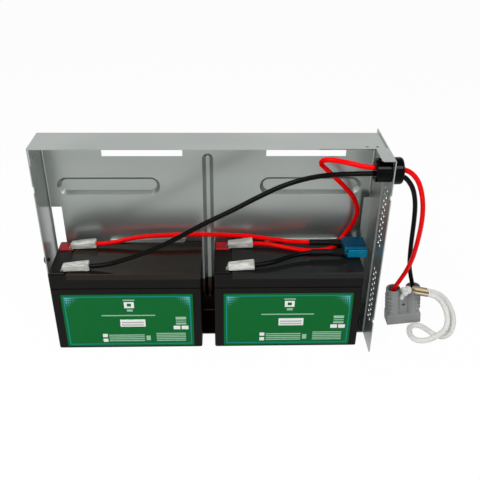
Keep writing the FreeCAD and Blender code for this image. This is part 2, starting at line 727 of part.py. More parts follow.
def make_fuse():
    """The blade fuse over the right-hand battery, and the two clips crimped on its wires.

    It rides on the positive lead, which crosses under its rear clip.
    """
    top = "gauge + batteryHeight + coverProud + fuseLift"
    body = new_body("fuse_body", "fuseStart", "-fuseRear", top)
    outline = [("0", "0"), ("fuseLength", "0"), ("fuseLength", "-fuseWidth"),
               ("fuseCorner", "-fuseWidth"), ("0", "fuseCorner - fuseWidth")]
    pad(body, polygon(sketch_on(body, "XY_Plane"), outline), "fuseThick")
    round_edges(body, "fuseGroove", lambda m, e: not along(e, 2) or m.x > 1)
    line = sketch_on(body, "XY_Plane", "fuseThick")
    rectangle(line, "fuseCorner", "-0.66 * fuseWidth", "fuseLength - fuseGroove",
              "fuseGroove - 0.66 * fuseWidth")
    pocket(body, line, "fuseGroove")
    for place_name, inset in (("rear", "bladeInset"), ("front", "fuseWidth - bladeInset")):
        hole = rectangle(sketch_on(body, "YZ_Plane"), f"-({inset}) - bladeWidth / 2",
                         "fuseThick / 2 - bladeThick / 2", f"-({inset}) + bladeWidth / 2",
                         "fuseThick / 2 + bladeThick / 2")
        pocket(body, hole, "bladeSeat", True)
        blade = new_body(f"fuse_blade_{place_name}", "fuseStart - bladeReach",
                         f"-fuseRear - ({inset})", f"{top} + fuseThick / 2")
        face = rectangle(sketch_on(blade, "YZ_Plane"), "-bladeWidth / 2", "-bladeThick / 2",
                         "bladeWidth / 2", "bladeThick / 2")
        pad(blade, face, "bladeReach + bladeSeat")
        clip = new_body(f"fuse_clip_{place_name}", "fuseStart - crimpGap - crimpLength",
                        f"-fuseRear - ({inset})", f"{top} + fuseThick / 2")
        barrel = circle(sketch_on(clip, "YZ_Plane"), "0", "0", "crimpBarrel")
        pad(clip, barrel, "crimpBarrelLength")
        flat = rectangle(sketch_on(clip, "YZ_Plane", "crimpBarrelLength"), "-crimpWidth / 2",
                         "-crimpThick / 2", "crimpWidth / 2", "crimpThick / 2")
        pad(clip, flat, "crimpLength - crimpBarrelLength")
        end = value_of("crimpBarrelLength")
        round_edges(clip, "crimpThick / 6", lambda m, e: m.x > end + 0.01)
        gap = "wireClearance / 4"
        slit = rectangle(sketch_on(clip, "YZ_Plane", "crimpLength"),
                         f"-bladeWidth / 2 - {gap}", f"-bladeThick / 2 - {gap}",
                         f"bladeWidth / 2 + {gap}", f"bladeThick / 2 + {gap}")
        pocket(clip, slit, "bladeReach - crimpGap + gauge / 2")
        shrink = new_body(f"heat_shrink_{place_name}",
                          "fuseStart - crimpGap - crimpLength - shrinkLength",
                          f"-fuseRear - ({inset})", f"{top} + fuseThick / 2")
        ring = sketch_on(shrink, "YZ_Plane")
        circle(ring, "0", "0", "wireRadius + shrinkWall")
        circle(ring, "0", "0", "wireRadius")
        pad(shrink, ring, "shrinkLength")


def make_connector():
    """The two-pole connector, on one edge of its mating face, propped by its leads."""
    body = new_body("connector_housing")
    w = "connectorWidth / 2"
    d = "connectorThick / 2"
    pad(body, rectangle(sketch_on(body, "XY_Plane"), f"-{w}", f"-{d}", w, d), "collarHeight")
    round_edges(body, "collarStep", lambda m, e: m.z > 0.01)
    poles = sketch_on(body, "XY_Plane", "collarHeight - collarStep")
    for x in ("-poleOffset", "poleOffset"):
        circle(poles, x, "0", "poleRadius")
    pad(body, poles, "connectorHeight - collarHeight + collarStep")
    web = sketch_on(body, "XY_Plane", "collarHeight - collarStep")
    rectangle(web, "-poleOffset", "-webThick / 2", "poleOffset", "webThick / 2")
    pad(body, web, "webHeight - collarHeight + collarStep")
    rails = sketch_on(body, "XY_Plane", "collarHeight - collarStep")
    for side in (-1, 1):
        root = f"{side} * poleOffset"
        flank = f"{side} * ({w} - 1.5 * collarStep)"
        bevel = f"{side} * ({w} - 3 * collarStep)"
        polygon(rails, [(root, f"1.5 * collarStep - {d}"), (bevel, f"1.5 * collarStep - {d}"),
                        (flank, f"3 * collarStep - {d}"), (flank, f"{d} - 3 * collarStep"),
                        (bevel, f"{d} - 1.5 * collarStep"), (root, f"{d} - 1.5 * collarStep")])
    pad(body, rails, "railHeight")
    for side in (-1, 1):
        rib = sketch_on(body, "XZ_Plane", f"3 * collarStep - {d}")
        root = f"{side} * ({w} - 3 * collarStep)"
        tip = f"{side} * ({w} - 1.5 * collarStep + gripProud)"
        polygon(rib, [(root, "gripFoot"), (tip, "gripFoot + 0.8"), (tip, "gripFoot + 1.6"),
                      (root, "gripFoot + 2.4")])
        ridge = pad(body, rib, "connectorThick - 6 * collarStep")
        repeat(body, ridge, rib, "gripPitch", "gripRibs")
    bores = sketch_on(body, "XY_Plane", "connectorHeight")
    for x in ("-poleOffset", "poleOffset"):
        circle(bores, x, "0", "poleBore")
    pocket(body, bores, "poleBoreDepth")
    cavities = sketch_on(body, "XY_Plane")
    for x in ("-poleOffset", "poleOffset"):
        rectangle(cavities, f"{x} - cavityWidth / 2", "-cavityThick / 2",
                  f"{x} + cavityWidth / 2", "cavityThick / 2")
    pocket(body, cavities, "cavityDepth", True)
    holes = sketch_on(body, "XZ_Plane", "connectorThick / 2")
    circle(holes, "0", "0.52 * connectorHeight", "webHole")
    circle(holes, "0", "webHeight - 2.2 * webHole", "webHole")
    pocket(body, holes, "connectorThick")
    for axis in "xyz":
        body.setExpression(f"Placement.Base.{axis}", None)
    body.Placement = FreeCAD.Placement(
        on_tray(*connector_point(0, 0, 0)), FreeCAD.Rotation(FreeCAD.Vector(0, -1, 0), lean()))
    for side, sign in (("left", -1), ("right", 1)):
        contact = doc.addObject("Part::Cylinder", f"contact_{side}")
        contact.Label = f"contact_{side}"
        bind(contact, "Radius", "contactRadius")
        bind(contact, "Height", "contactHeight")
        foot = FreeCAD.Vector(sign * value_of("poleOffset"), 0,
                              value_of("connectorHeight - poleBoreDepth"))
        contact.Placement = body.Placement.multiply(
            FreeCAD.Placement(foot, FreeCAD.Rotation()))
        pieces.append(contact)


def rounded_path(points):
    """Straight runs joined by tangent arcs, each arc as large as its two runs allow."""
    edges = []
    radii = []
    last = points[0]
    for before, here, after in zip(points, points[1:], points[2:]):
        back = before - here
        ahead = after - here
        reach = 0.45 * min(back.Length, ahead.Length)
        turn = math.pi - back.getAngle(ahead)
        a = here + FreeCAD.Vector(back).normalize() * reach
        b = here + FreeCAD.Vector(ahead).normalize() * reach
        radius = reach / math.tan(turn / 2)
        radii.append(radius)
        halfway = FreeCAD.Vector(back).normalize() + FreeCAD.Vector(ahead).normalize()
        inward = radius / math.cos(turn / 2) - radius
        middle = here + halfway.normalize() * inward
        edges.append(Part.LineSegment(last, a).toShape())
        edges.append(Part.Arc(a, middle, b).toShape())
        last = b
    edges.append(Part.LineSegment(last, points[-1]).toShape())
    return Part.Wire(edges), radii


def make_cord(label, points, radius):
    """A round cord swept along its route, given from the tray's corner."""
    path, radii = rounded_path([FreeCAD.Vector(*point) for point in points])
    start = FreeCAD.Vector(*points[0])
    heading = FreeCAD.Vector(*points[1]) - start
    ring = Part.Wire([Part.Circle(start, heading, radius).toShape()])
    tube = path.makePipeShell([ring], True, False)
    ratio = tube.Volume / (math.pi * radius ** 2 * path.Length)
    tightest = min(radii)
    print(f"{label}: length {path.Length:.1f}, volume ratio {ratio:.4f}, radii "
          + " ".join(f"{r:.0f}" for r in radii))
    if abs(ratio - 1) > 0.02 or tightest < radius:
        raise RuntimeError(f"{label}: its sweep is not a plain tube")
    cord = doc.addObject("Part::Feature", label)
    cord.Label = label
    cord.Shape = tube
    cord.Placement = FreeCAD.Placement(
        FreeCAD.Vector(value_of(origin_x), value_of(origin_y), 0), FreeCAD.Rotation())
    pieces.append(cord)


def beyond(point, steps):
    """A point so many way-steps further along X."""
    return (point[0] + steps * value_of("wayStep"), point[1], point[2])


def between(a, b, stops):
    """Way-points on the line from a to b at the given shares, each moved aside in way-steps."""
    step = value_of("wayStep")
    return [tuple(a[i] + (b[i] - a[i]) * stop[0] + stop[i + 1] * step for i in range(3))
            for stop in stops]


def make_wires():
    wire = value_of("wireRadius")
    level = value_of("terminalLevel")
    plus = -value_of("positiveRear")
    minus = -value_of("negativeRear")
    left = value_of("batteryStart + receptacleStart + receptacleLength + receptacleBarrelLength")
    right = left + value_of("batteryPitch")
    clip = value_of("fuseStart - crimpGap - crimpLength")
    fuse_level = value_of("gauge + batteryHeight + coverProud + fuseLift + fuseThick / 2")
    rear = value_of("-fuseRear - bladeInset")
    front = value_of("-fuseRear - fuseWidth + bladeInset")
    way = value_of("bushingFront - panelFront")
    high = value_of("bushingHeight + wirePitch / 2")
    low = value_of("bushingHeight - wirePitch / 2")
    inner = value_of("trayLength - barrelLength - 6 * wayStep")
    outer = value_of("trayLength + gauge + headLength")
    pole = value_of("poleOffset")
    rise = value_of("13.5 * wayStep")
    foot = value_of("connectorHeight - poleBoreDepth + contactHeight")
    plus_left, minus_left = (left, plus, level), (left, minus, level)
    plus_right, minus_right = (right, plus, level), (right, minus, level)
    out_left, out_right = beyond(plus_left, 23), beyond(plus_right, 23)
    rear_clip, front_clip = (clip, rear, fuse_level), (clip, front, fuse_level)
    red_way, black_way = (inner, way, high), (inner, way, low)
    make_cord("red_jumper", [plus_left, out_left] + between(
        out_left, beyond(rear_clip, -24), [
            (0.136, 0, 4.9, 5.2), (0.309, 0, 7.0, 6.6), (0.498, 0, 9.2, 5.6),
            (0.721, 0, 11.0, 2.6), (0.859, 0, 6.3, 0.5)])
        + [beyond(rear_clip, -24), rear_clip], wire)
    make_cord("fuse_lead", [minus_right, beyond(minus_right, 23),
                            beyond(front_clip, -26), front_clip], wire)
    socket = connector_point(pole, 0, foot)
    collar = connector_point(pole, 0, foot + rise)
    make_cord("negative_lead", [minus_left, beyond(minus_left, 23)] + between(
        beyond(minus_left, 23), black_way, [
            (0.108, 0, -0.7, -1.5), (0.206, 0, -1.0, -0.9), (0.304, 0, -0.8, 2.4),
            (0.403, 0, -0.8, 8.1), (0.501, 0, -0.5, 10.8), (0.599, 0, 0, 15.4),
            (0.709, 0, -0.1, 19.2), (0.835, 0, -0.2, 15.4)])
        + [black_way, (outer, way, low)] + between((outer, way, low), collar, [
            (0.094, 9.4, 1.2, 0), (0.225, 11.6, 4.5, 0), (0.366, 9.8, 6.4, 0),
            (0.525, 6.0, 7.5, 0), (0.691, 2.1, 8.3, 0), (0.819, -0.6, 6.7, 0),
            (0.922, -0.5, 3.6, 0)]) + [collar, socket], wire)
    socket = connector_point(-pole, 0, foot)
    collar = connector_point(-pole, 0, foot + rise)
    mouth = beyond((outer, way, high), 2)
    make_cord("positive_lead", [plus_right, out_right] + between(
        out_right, (clip, rear, level), [(0.341, 0, -5.4, -1.0), (0.667, 0, -10.8, -1.3)])
        + between((clip, rear, level), red_way, [
            (0, 1.1, -9.7, -1.3), (0, 13.1, -2.2, -1.3), (0, 19.1, 7.9, -0.7),
            (0.074, 24.5, 14.8, 0), (0.202, 27.3, 17.8, 0), (0.340, 25.4, 18.5, 0),
            (0.492, 16.0, 19.8, 0), (0.630, 1.6, 19.9, 0), (0.758, -14.1, 18.7, 0),
            (0.878, -29.0, 17.0, 0), (0.983, -42.5, 14.8, 0), (1.057, -40.1, 9.0, 0),
            (1.043, -20.2, 3.4, 0)])
        + [red_way, mouth] + between(mouth, collar, [
            (0.063, 12.3, -1.5, 0), (0.169, 18.2, -3.3, 0), (0.290, 20.8, -4.6, 0),
            (0.424, 20.7, -5.0, 0), (0.570, 19.6, -2.8, 0), (0.710, 17.5, -0.4, 0),
            (0.828, 13.1, 1.4, 0), (0.916, 7.0, 1.4, 0)]) + [collar, socket], wire)


def make_rope():
    """The pull rope: a knot on the connector's web, a crimped ferrule and a loop."""
    drop = math.radians(value_of("ferruleDrop"))
    heading = FreeCAD.Vector(math.cos(drop), 0, -math.sin(drop))
    tip = FreeCAD.Vector(value_of("ferruleX"), value_of("ferruleY"), value_of("ferruleZ"))
    ferrule = new_body("rope_ferrule", "ferruleX", "ferruleY", "ferruleZ")
    face = slot(sketch_on(ferrule, "YZ_Plane"), "-ropeRadius", "0", "ropeRadius", "0",
                "ferruleHeight / 2")
    pad(ferrule, face, "ferruleLength", True)
    groove = rectangle(sketch_on(ferrule, "XZ_Plane", "ropeRadius + ferruleHeight / 2"),
                       "-ferruleLength", "-ferruleHeight / 14", "0", "ferruleHeight / 14")
    pocket(ferrule, groove, "ferruleHeight / 8")
    spin = FreeCAD.Rotation(FreeCAD.Vector(0, 1, 0), value_of("ferruleDrop"))
    ferrule.Placement = FreeCAD.Placement(ferrule.Placement.Base, spin)
    r = value_of("ropeRadius")
    start = tip + FreeCAD.Vector(0, -r, 0)
    end = tip + FreeCAD.Vector(0, r, 0)
    step = value_of("wayStep")
    floor = r / step + 0.3

    def lay(x, y, z):
        """A way-point in way-steps from the foot of the connector."""
        return (value_of("connectorX") + x * step, value_of("connectorY") + y * step, z * step)

    make_cord("rope", [
        tuple(start), tuple(start + heading * 8 * step), lay(33.8, -17, 40),
        lay(38.8, -19.5, 32), lay(40.9, -24, 25.4), lay(41.2, -28, 17.4),
        lay(37, -33.6, 11.7), lay(28.2, -39.2, 10), lay(19.8, -41.7, 7),
        lay(9.6, -41.1, floor + 0.9), lay(2.4, -34.8, floor), lay(1.9, -22.9, floor),
        lay(5.5, -14.1, floor), lay(12.6, -11.3, floor), lay(18.1, -14.3, floor),
        lay(23.3, -21.1, floor), lay(27, -27.7, floor), lay(32.6, -32.4, floor),
        lay(38.8, -32.7, floor), lay(45.8, -29, floor + 1.8), lay(50.4, -22, 10.8),
        lay(51.2, -16, 17.2), lay(47.9, -12, 26), lay(42, -9.7, 35),
        lay(34.6, -9.7, 42.6), tuple(end + heading * 8 * step), tuple(end)], r)
    knot = doc.addObject("Part::MultiFuse", "rope_knot")
    knot.Label = "rope_knot"
    rings = []
    for index, (yaw, tilt) in enumerate(((0, 90), (60, 35), (-50, 40))):
        ring = doc.addObject("Part::Torus", f"knot_ring_{index + 1}")
        bind(ring, "Radius1", "knotRing")
        bind(ring, "Radius2", "ropeRadius")
        ring.Placement = FreeCAD.Placement(FreeCAD.Vector(0, 0, 0),
                                           FreeCAD.Rotation(yaw, tilt, 0))
        rings.append(ring)
    knot.Shapes = rings
    knot.Placement = FreeCAD.Placement(
        on_tray(*connector_point(value_of("knotSide"), -value_of("knotFront"),
                                 value_of("knotHeight"))), FreeCAD.Rotation())
    pieces.append(knot)


make_tray()
make_corner_bracket()
make_end_panel()
make_edge_bumper()
make_bushing()
for side, shift in (("left", ""), ("right", " + batteryPitch")):
    make_battery(side, shift)
    make_terminal(side, "positive", shift)
    make_terminal(side, "negative", shift)
make_fuse()
make_connector()
make_wires()
make_rope()
doc.recompute()

faults = [item.Label for item in doc.Objects
          if "Invalid" in item.State or "Error" in item.State]
for piece in pieces:
    shape = piece.Shape
    if shape.isNull() or not shape.isValid() or shape.Volume < 1:
        faults.append(piece.Label)
if faults:
    raise RuntimeError("not sound: " + ", ".join(sorted(set(faults))))

os.makedirs("parts", exist_ok=True)
for piece in pieces:
    piece.Shape.exportStep(f"parts/{piece.Label}.step")
    print(f"{piece.Label}: {piece.Shape.Volume:.0f} mm3, {len(piece.Shape.Solids)} solid")
print(f"{len(pieces)} pieces")
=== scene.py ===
import math
import bpy
from mathutils import Matrix, Vector


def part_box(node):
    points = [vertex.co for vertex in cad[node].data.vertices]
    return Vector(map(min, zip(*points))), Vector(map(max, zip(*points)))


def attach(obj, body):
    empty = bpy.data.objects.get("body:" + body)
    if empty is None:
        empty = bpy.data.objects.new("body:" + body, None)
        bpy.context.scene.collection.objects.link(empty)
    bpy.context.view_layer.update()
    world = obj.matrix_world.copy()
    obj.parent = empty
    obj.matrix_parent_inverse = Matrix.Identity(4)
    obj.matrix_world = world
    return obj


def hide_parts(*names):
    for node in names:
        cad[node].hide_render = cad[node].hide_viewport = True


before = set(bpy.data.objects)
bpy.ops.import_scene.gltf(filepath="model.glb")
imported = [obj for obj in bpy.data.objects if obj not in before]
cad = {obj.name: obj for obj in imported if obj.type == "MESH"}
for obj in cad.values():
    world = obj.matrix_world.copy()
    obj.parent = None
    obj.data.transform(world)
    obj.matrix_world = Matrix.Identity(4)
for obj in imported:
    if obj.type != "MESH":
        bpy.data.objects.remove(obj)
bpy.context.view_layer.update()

mm = 0.001
print("frame loaded,", len(cad), "nodes")


def deselectAll():
    if bpy.context.object and bpy.context.object.mode != "OBJECT":
        bpy.ops.object.mode_set(mode="OBJECT")
    bpy.ops.object.select_all(action="DESELECT")


def pick(piece):
    deselectAll()
    piece.select_set(True)
    bpy.context.view_layer.objects.active = piece


def dress(piece, material):  # one material on the whole piece
    piece.data.materials.clear()
    piece.data.materials.append(material)


def node(tree, kind, **inputs):  # adds a shader node and fills its sockets by name
    made = tree.nodes.new(kind)
    for key, value in inputs.items():
        made.inputs[key].default_value = value
    return made


def startMaterial(name, color, roughness, metallic=0.0, **sockets):
    material = bpy.data.materials.new(name)
    material.use_nodes = True
    tree = material.node_tree
    shader = tree.nodes["Principled BSDF"]
    shader.inputs["Base Color"].default_value = (*color, 1)
    shader.inputs["Roughness"].default_value = roughness
    shader.inputs["Metallic"].default_value = metallic
    for key, value in sockets.items():
        shader.inputs[key.replace("_", " ")].default_value = value
    return material, tree, shader


def objectPlace(tree, scale=(1, 1, 1)):  # object coordinates in metres, scaled
    where = tree.nodes.new("ShaderNodeTexCoord")
    mapping = node(tree, "ShaderNodeMapping", Scale=scale)
    tree.links.new(where.outputs["Object"], mapping.inputs["Vector"])
    return mapping.outputs["Vector"]


def ramp(tree, value, stops):  # stops are (place, colour)
    made = tree.nodes.new("ShaderNodeValToRGB")
    band = made.color_ramp
    while len(band.elements) < len(stops):
        band.elements.new(0.5)
    for element, (place, color) in zip(band.elements, stops):
        element.position = place
        element.color = (*color, 1) if len(color) == 3 else color
    tree.links.new(value, made.inputs["Fac"])
    return made.outputs["Color"]


def objectAxes(tree):  # X, Y and Z of the object coordinates
    axes = tree.nodes.new("ShaderNodeSeparateXYZ")
    tree.links.new(objectPlace(tree), axes.inputs[0])
    return axes.outputs


def maths(tree, operation, first, second=0.0, third=None):
    made = tree.nodes.new("ShaderNodeMath")
    made.operation = operation
    for socket, value in zip(made.inputs, (first, second, third)):
        if value is None:
            continue
        if hasattr(value, "is_linked"):
            tree.links.new(value, socket)
        else:
            socket.default_value = value
    return made.outputs[0]


def bump(tree, height, shader, strength, distance):
    made = node(tree, "ShaderNodeBump", Strength=strength, Distance=distance)
    tree.links.new(height, made.inputs["Height"])
    tree.links.new(made.outputs["Normal"], shader.inputs["Normal"])


cameraView = {
    "place": (0.01115, -0.56805, 0.4526),
    "yaw": 0.036269,        # towards +X
    "pitch": 0.546240,      # below the horizon
    "roll": -0.013778,
    "lens": 48.57,
    "shift": (-0.0102, 0.0143),
}


def makeCamera(view):
    yaw, pitch, roll = view["yaw"], view["pitch"], view["roll"]
    ahead = Vector((math.sin(yaw) * math.cos(pitch), math.cos(yaw) * math.cos(pitch),
                    -math.sin(pitch)))
    level = Vector((math.cos(yaw), -math.sin(yaw), 0))
    down = ahead.cross(level)
    right = level * math.cos(roll) + down * math.sin(roll)
    fall = down * math.cos(roll) - level * math.sin(roll)
    turn = Matrix((right, -fall, -ahead)).transposed().to_4x4()
    data = bpy.data.cameras.new("camera")
    data.lens = view["lens"]
    data.sensor_width = 36
    data.shift_x, data.shift_y = view["shift"]
    data.clip_start = 0.02
    camera = bpy.data.objects.new("camera", data)
    camera.matrix_world = Matrix.Translation(view["place"]) @ turn
    bpy.context.scene.collection.objects.link(camera)
    bpy.context.scene.camera = camera
    print("camera placed")


makeCamera(cameraView)


cordSizes = {
    "wireRadius": 2.4 * mm,
    "ropeRadius": 3.0 * mm,
    "smoothness": 14,
    "roundness": 5,
}
cordRoutes = {
    "redJumper": [
        (-0.1347, 0.0203, 0.0990), (-0.1117, 0.0203, 0.0990), (-0.0842, 0.0247, 0.1046),
        (-0.0493, 0.0262, 0.1065), (-0.0112, 0.0278, 0.1060), (0.0338, 0.0289, 0.1036),
        (0.0617, 0.0237, 0.1019), (0.0901, 0.0169, 0.1018), (0.1141, 0.0169, 0.1018)],
    "fuseLead": [
        (0.0298, -0.0227, 0.0990), (0.0528, -0.0227, 0.0990), (0.0881, -0.0025, 0.1018),
        (0.1141, -0.0025, 0.1018)],
    "negativeLead": [
        (-0.1347, -0.0227, 0.0990), (-0.1117, -0.0227, 0.0990), (-0.0842, -0.0240, 0.1086),
        (-0.0592, -0.0248, 0.1194), (-0.0343, -0.0251, 0.1328), (-0.0091, -0.0256, 0.1487),
        (0.0158, -0.0258, 0.1615), (0.0407, -0.0257, 0.1762), (0.0687, -0.0264, 0.1914),
        (0.1008, -0.0271, 0.2006), (0.1428, -0.0278, 0.2022), (0.1743, -0.0278, 0.2022),
        (0.1878, -0.0228, 0.1875), (0.1958, -0.0143, 0.1670), (0.2002, -0.0067, 0.1449),
        (0.2034, 0.0008, 0.1200), (0.2068, 0.0082, 0.0941), (0.2097, 0.0117, 0.0740),
        (0.2143, 0.0127, 0.0579), (0.2183, 0.0123, 0.0457), (0.2198, 0.0123, 0.0323)],
    "positiveLead": [
        (0.0298, 0.0203, 0.0990), (0.0528, 0.0203, 0.0990), (0.0738, 0.0137, 0.0980),
        (0.0937, 0.0072, 0.0977), (0.1153, 0.0073, 0.0977), (0.1273, 0.0148, 0.0977),
        (0.1333, 0.0249, 0.0983), (0.1408, 0.0284, 0.1071), (0.1472, 0.0257, 0.1210),
        (0.1493, 0.0203, 0.1360), (0.1442, 0.0148, 0.1525), (0.1338, 0.0087, 0.1675),
        (0.1217, 0.0018, 0.1815), (0.1103, -0.0053, 0.1945), (0.0998, -0.0122, 0.2060),
        (0.1043, -0.0213, 0.2140), (0.1238, -0.0263, 0.2125), (0.1428, -0.0278, 0.2078),
        (0.1762, -0.0278, 0.2078), (0.1898, -0.0267, 0.1974), (0.1978, -0.0243, 0.1800),
        (0.2028, -0.0208, 0.1601), (0.2053, -0.0158, 0.1380), (0.2071, -0.0077, 0.1140),
        (0.2078, 0.0003, 0.0909), (0.2057, 0.0068, 0.0715), (0.2014, 0.0103, 0.0570),
        (0.1960, 0.0123, 0.0432), (0.1975, 0.0123, 0.0298)],
    "pullRope": [
        (0.2296, -0.0035, 0.0484), (0.2374, -0.0035, 0.0467), (0.2457, -0.0047, 0.0400),
        (0.2508, -0.0073, 0.0320), (0.2528, -0.0118, 0.0254), (0.2531, -0.0158, 0.0174),
        (0.2490, -0.0214, 0.0117), (0.2401, -0.0270, 0.0100), (0.2318, -0.0295, 0.0070),
        (0.2216, -0.0289, 0.0042), (0.2143, -0.0225, 0.0033), (0.2138, -0.0106, 0.0033),
        (0.2175, -0.0019, 0.0033), (0.2246, 0.0010, 0.0033), (0.2301, -0.0020, 0.0033),
        (0.2353, -0.0089, 0.0033), (0.2389, -0.0155, 0.0033), (0.2446, -0.0201, 0.0033),
        (0.2508, -0.0205, 0.0033), (0.2577, -0.0168, 0.0051), (0.2623, -0.0097, 0.0108),
        (0.2631, -0.0037, 0.0172), (0.2598, 0.0003, 0.0260), (0.2540, 0.0026, 0.0350),
        (0.2466, 0.0026, 0.0426), (0.2374, 0.0025, 0.0467), (0.2296, 0.0025, 0.0484)],
}


def routeCurve(name, points, radius):
    data = bpy.data.curves.new(name, "CURVE")
    data.dimensions = "3D"
    data.bevel_depth = radius
    data.bevel_resolution = cordSizes["roundness"]
    data.use_fill_caps = True
    data.resolution_u = cordSizes["smoothness"]
    spline = data.splines.new("NURBS")
    spline.points.add(len(points) - 1)
    for point, place in zip(spline.points, points):
        point.co = (*place, 1)
    spline.order_u = 3
    spline.use_endpoint_u = True
    spline.use_smooth = True
    curve = bpy.data.objects.new(name, data)
    bpy.context.scene.collection.objects.link(curve)
    return curve


def wireInsulation(name, color, roughness):  # soft PVC with a faint grain and a few handling marks
    material, tree, shader = startMaterial(name, color, roughness, Specular_IOR_Level=0.07)
    place = objectPlace(tree)
    grain = node(tree, "ShaderNodeTexNoise", Scale=900.0, Detail=3.0)
    marks = node(tree, "ShaderNodeTexNoise", Scale=60.0, Detail=4.0)
    for texture in (grain, marks):
        tree.links.new(place, texture.inputs["Vector"])
    dull = tuple(c * 0.82 for c in color)
    tree.links.new(ramp(tree, marks.outputs["Fac"], [(0.3, dull), (0.62, color)]),
                   shader.inputs["Base Color"])
    bump(tree, grain.outputs["Fac"], shader, 0.12, 0.0003)
    return material


def ropeBraid(name, color):
    material, tree, shader = startMaterial(name, color, 0.85, Sheen_Weight=0.3)
    place = objectPlace(tree)
    fuzz = node(tree, "ShaderNodeTexNoise", Scale=900.0, Detail=1.0)
    tree.links.new(place, fuzz.inputs["Vector"])
    shade = tuple(c * 0.93 for c in color)
    tree.links.new(ramp(tree, fuzz.outputs["Fac"], [(0.35, shade), (0.6, color)]),
                   shader.inputs["Base Color"])
    bump(tree, fuzz.outputs["Fac"], shader, 0.22, 0.0004)
    return material


redInsulation = wireInsulation("redInsulation", (0.95, 0.0008, 0.0015), 0.24)
blackInsulation = wireInsulation("blackInsulation", (0.0015, 0.0015, 0.0015), 0.22)
whiteRope = ropeBraid("whiteRope", (0.74, 0.75, 0.715))


def makeCords():
    radius = cordSizes["wireRadius"]
    plug = ["connector_housing", "contact_left", "contact_right"]
    facts = {
        "redJumper": ("red_jumper", radius, redInsulation, 0.2508, "object", "medium",
                      ["receptacle_positive_left", "sleeve_positive_left",
                       "heat_shrink_rear", "fuse_clip_rear"]),
        "fuseLead": ("fuse_lead", radius, blackInsulation, 0.0888, "object", "medium",
                     ["receptacle_negative_right", "sleeve_negative_right",
                      "heat_shrink_front", "fuse_clip_front", "fuse_body",
                      "fuse_blade_rear", "fuse_blade_front"]),
        "negativeLead": ("negative_lead", radius, blackInsulation, 0.516, "connector",
                         "medium", ["receptacle_negative_left", "sleeve_negative_left"] + plug),
        "positiveLead": ("positive_lead", radius, redInsulation, 0.5245, "connector",
                         "medium", ["receptacle_positive_right", "sleeve_positive_right"]
                         + plug),
        "pullRope": ("rope", cordSizes["ropeRadius"], whiteRope, 0.2328, "object", "limp",
                 ["rope_ferrule", "rope_knot"]),
    }
    for name, (nodeName, thick, material, length, end, stiff, carried) in facts.items():
        route = cordRoutes[name]
        curve = routeCurve(name, route, thick)
        dress(curve, material)
        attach(curve, "root")
        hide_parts(nodeName)
    print("wires and rope laid")


makeCords()

ropeKnot = {
    "size": 1.42 * mm,      # a third of the knot's reach from its middle
    "strand": 2.25 * mm,
    "turns": 96,
    "flat": 0.9,
    "tail": 9.0 * mm,
    "tailStart": 1.5 * mm,
    "tailAside": 2.6 * mm,
    "tailForward": 0.6 * mm,
    "tailStrand": 0.95,     # share of the strand's thickness
    "tailSteps": 8,
    "grain": 0.35 * mm,
    "smoothing": 4,
}


def tubeFrom(points, radius, closed, name):  # a round strand along a ring or run of points
    deselectAll()
    bpy.ops.mesh.primitive_circle_add(vertices=len(points), radius=0.01)
    piece = bpy.context.object
    piece.name = name
    for vertex, place in zip(piece.data.vertices, points):
        vertex.co = place
    if not closed:
        bpy.ops.object.mode_set(mode="EDIT")
        bpy.ops.mesh.select_mode(type="EDGE")
        bpy.ops.mesh.select_all(action="DESELECT")
        bpy.ops.object.mode_set(mode="OBJECT")
        last = len(points) - 1
        for edge in piece.data.edges:
            edge.select = set(edge.vertices) == {0, last}
        bpy.ops.object.mode_set(mode="EDIT")
        bpy.ops.mesh.delete(type="EDGE")
        bpy.ops.object.mode_set(mode="OBJECT")
    bpy.ops.object.convert(target="CURVE")
    piece.data.bevel_depth = radius
    piece.data.bevel_resolution = 4
    piece.data.use_fill_caps = not closed
    bpy.ops.object.convert(target="MESH")
    return piece


def makeKnot(look):
    low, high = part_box("rope_knot")
    middle = (low + high) / 2
    size, count = look["size"], look["turns"]
    ring = []
    for index in range(count):
        angle = index * 2 * math.pi / count
        ring.append((middle.x + size * (math.sin(angle) + 2 * math.sin(2 * angle)),
                     middle.y - size * look["flat"] * math.sin(3 * angle),
                     middle.z + size * (math.cos(angle) - 2 * math.cos(2 * angle))))
    knot = tubeFrom(ring, look["strand"], True, "ropeKnot")
    steps, start = look["tailSteps"], look["tailStart"]
    run = [(middle.x - start - look["tailAside"] * k / steps,
            middle.y - look["tailForward"] * k / steps,
            middle.z - start - look["tail"] * k / steps) for k in range(steps + 1)]
    tail = tubeFrom(run, look["strand"] * look["tailStrand"], False, "knotTail")
    deselectAll()
    tail.select_set(True)
    knot.select_set(True)
    bpy.context.view_layer.objects.active = knot
    bpy.ops.object.join()
    remesh = knot.modifiers.new("Remesh", "REMESH")
    remesh.mode = "VOXEL"
    remesh.voxel_size = look["grain"]
    bpy.ops.object.modifier_apply(modifier=remesh.name)
    smooth = knot.modifiers.new("Smooth", "SMOOTH")
    smooth.iterations = look["smoothing"]
    bpy.ops.object.modifier_apply(modifier=smooth.name)
    bpy.ops.object.shade_smooth()
    dress(knot, whiteRope)
    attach(knot, "root")
    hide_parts("rope_knot")
    print("knot tied")


makeKnot(ropeKnot)


def ready(piece, nodeName, material):  # a finished piece takes its node's place
    dress(piece, material)
    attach(piece, "root")
    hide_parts(nodeName)


def applyAll(piece):
    pick(piece)
    for modifier in list(piece.modifiers):
        bpy.ops.object.modifier_apply(modifier=modifier.name)


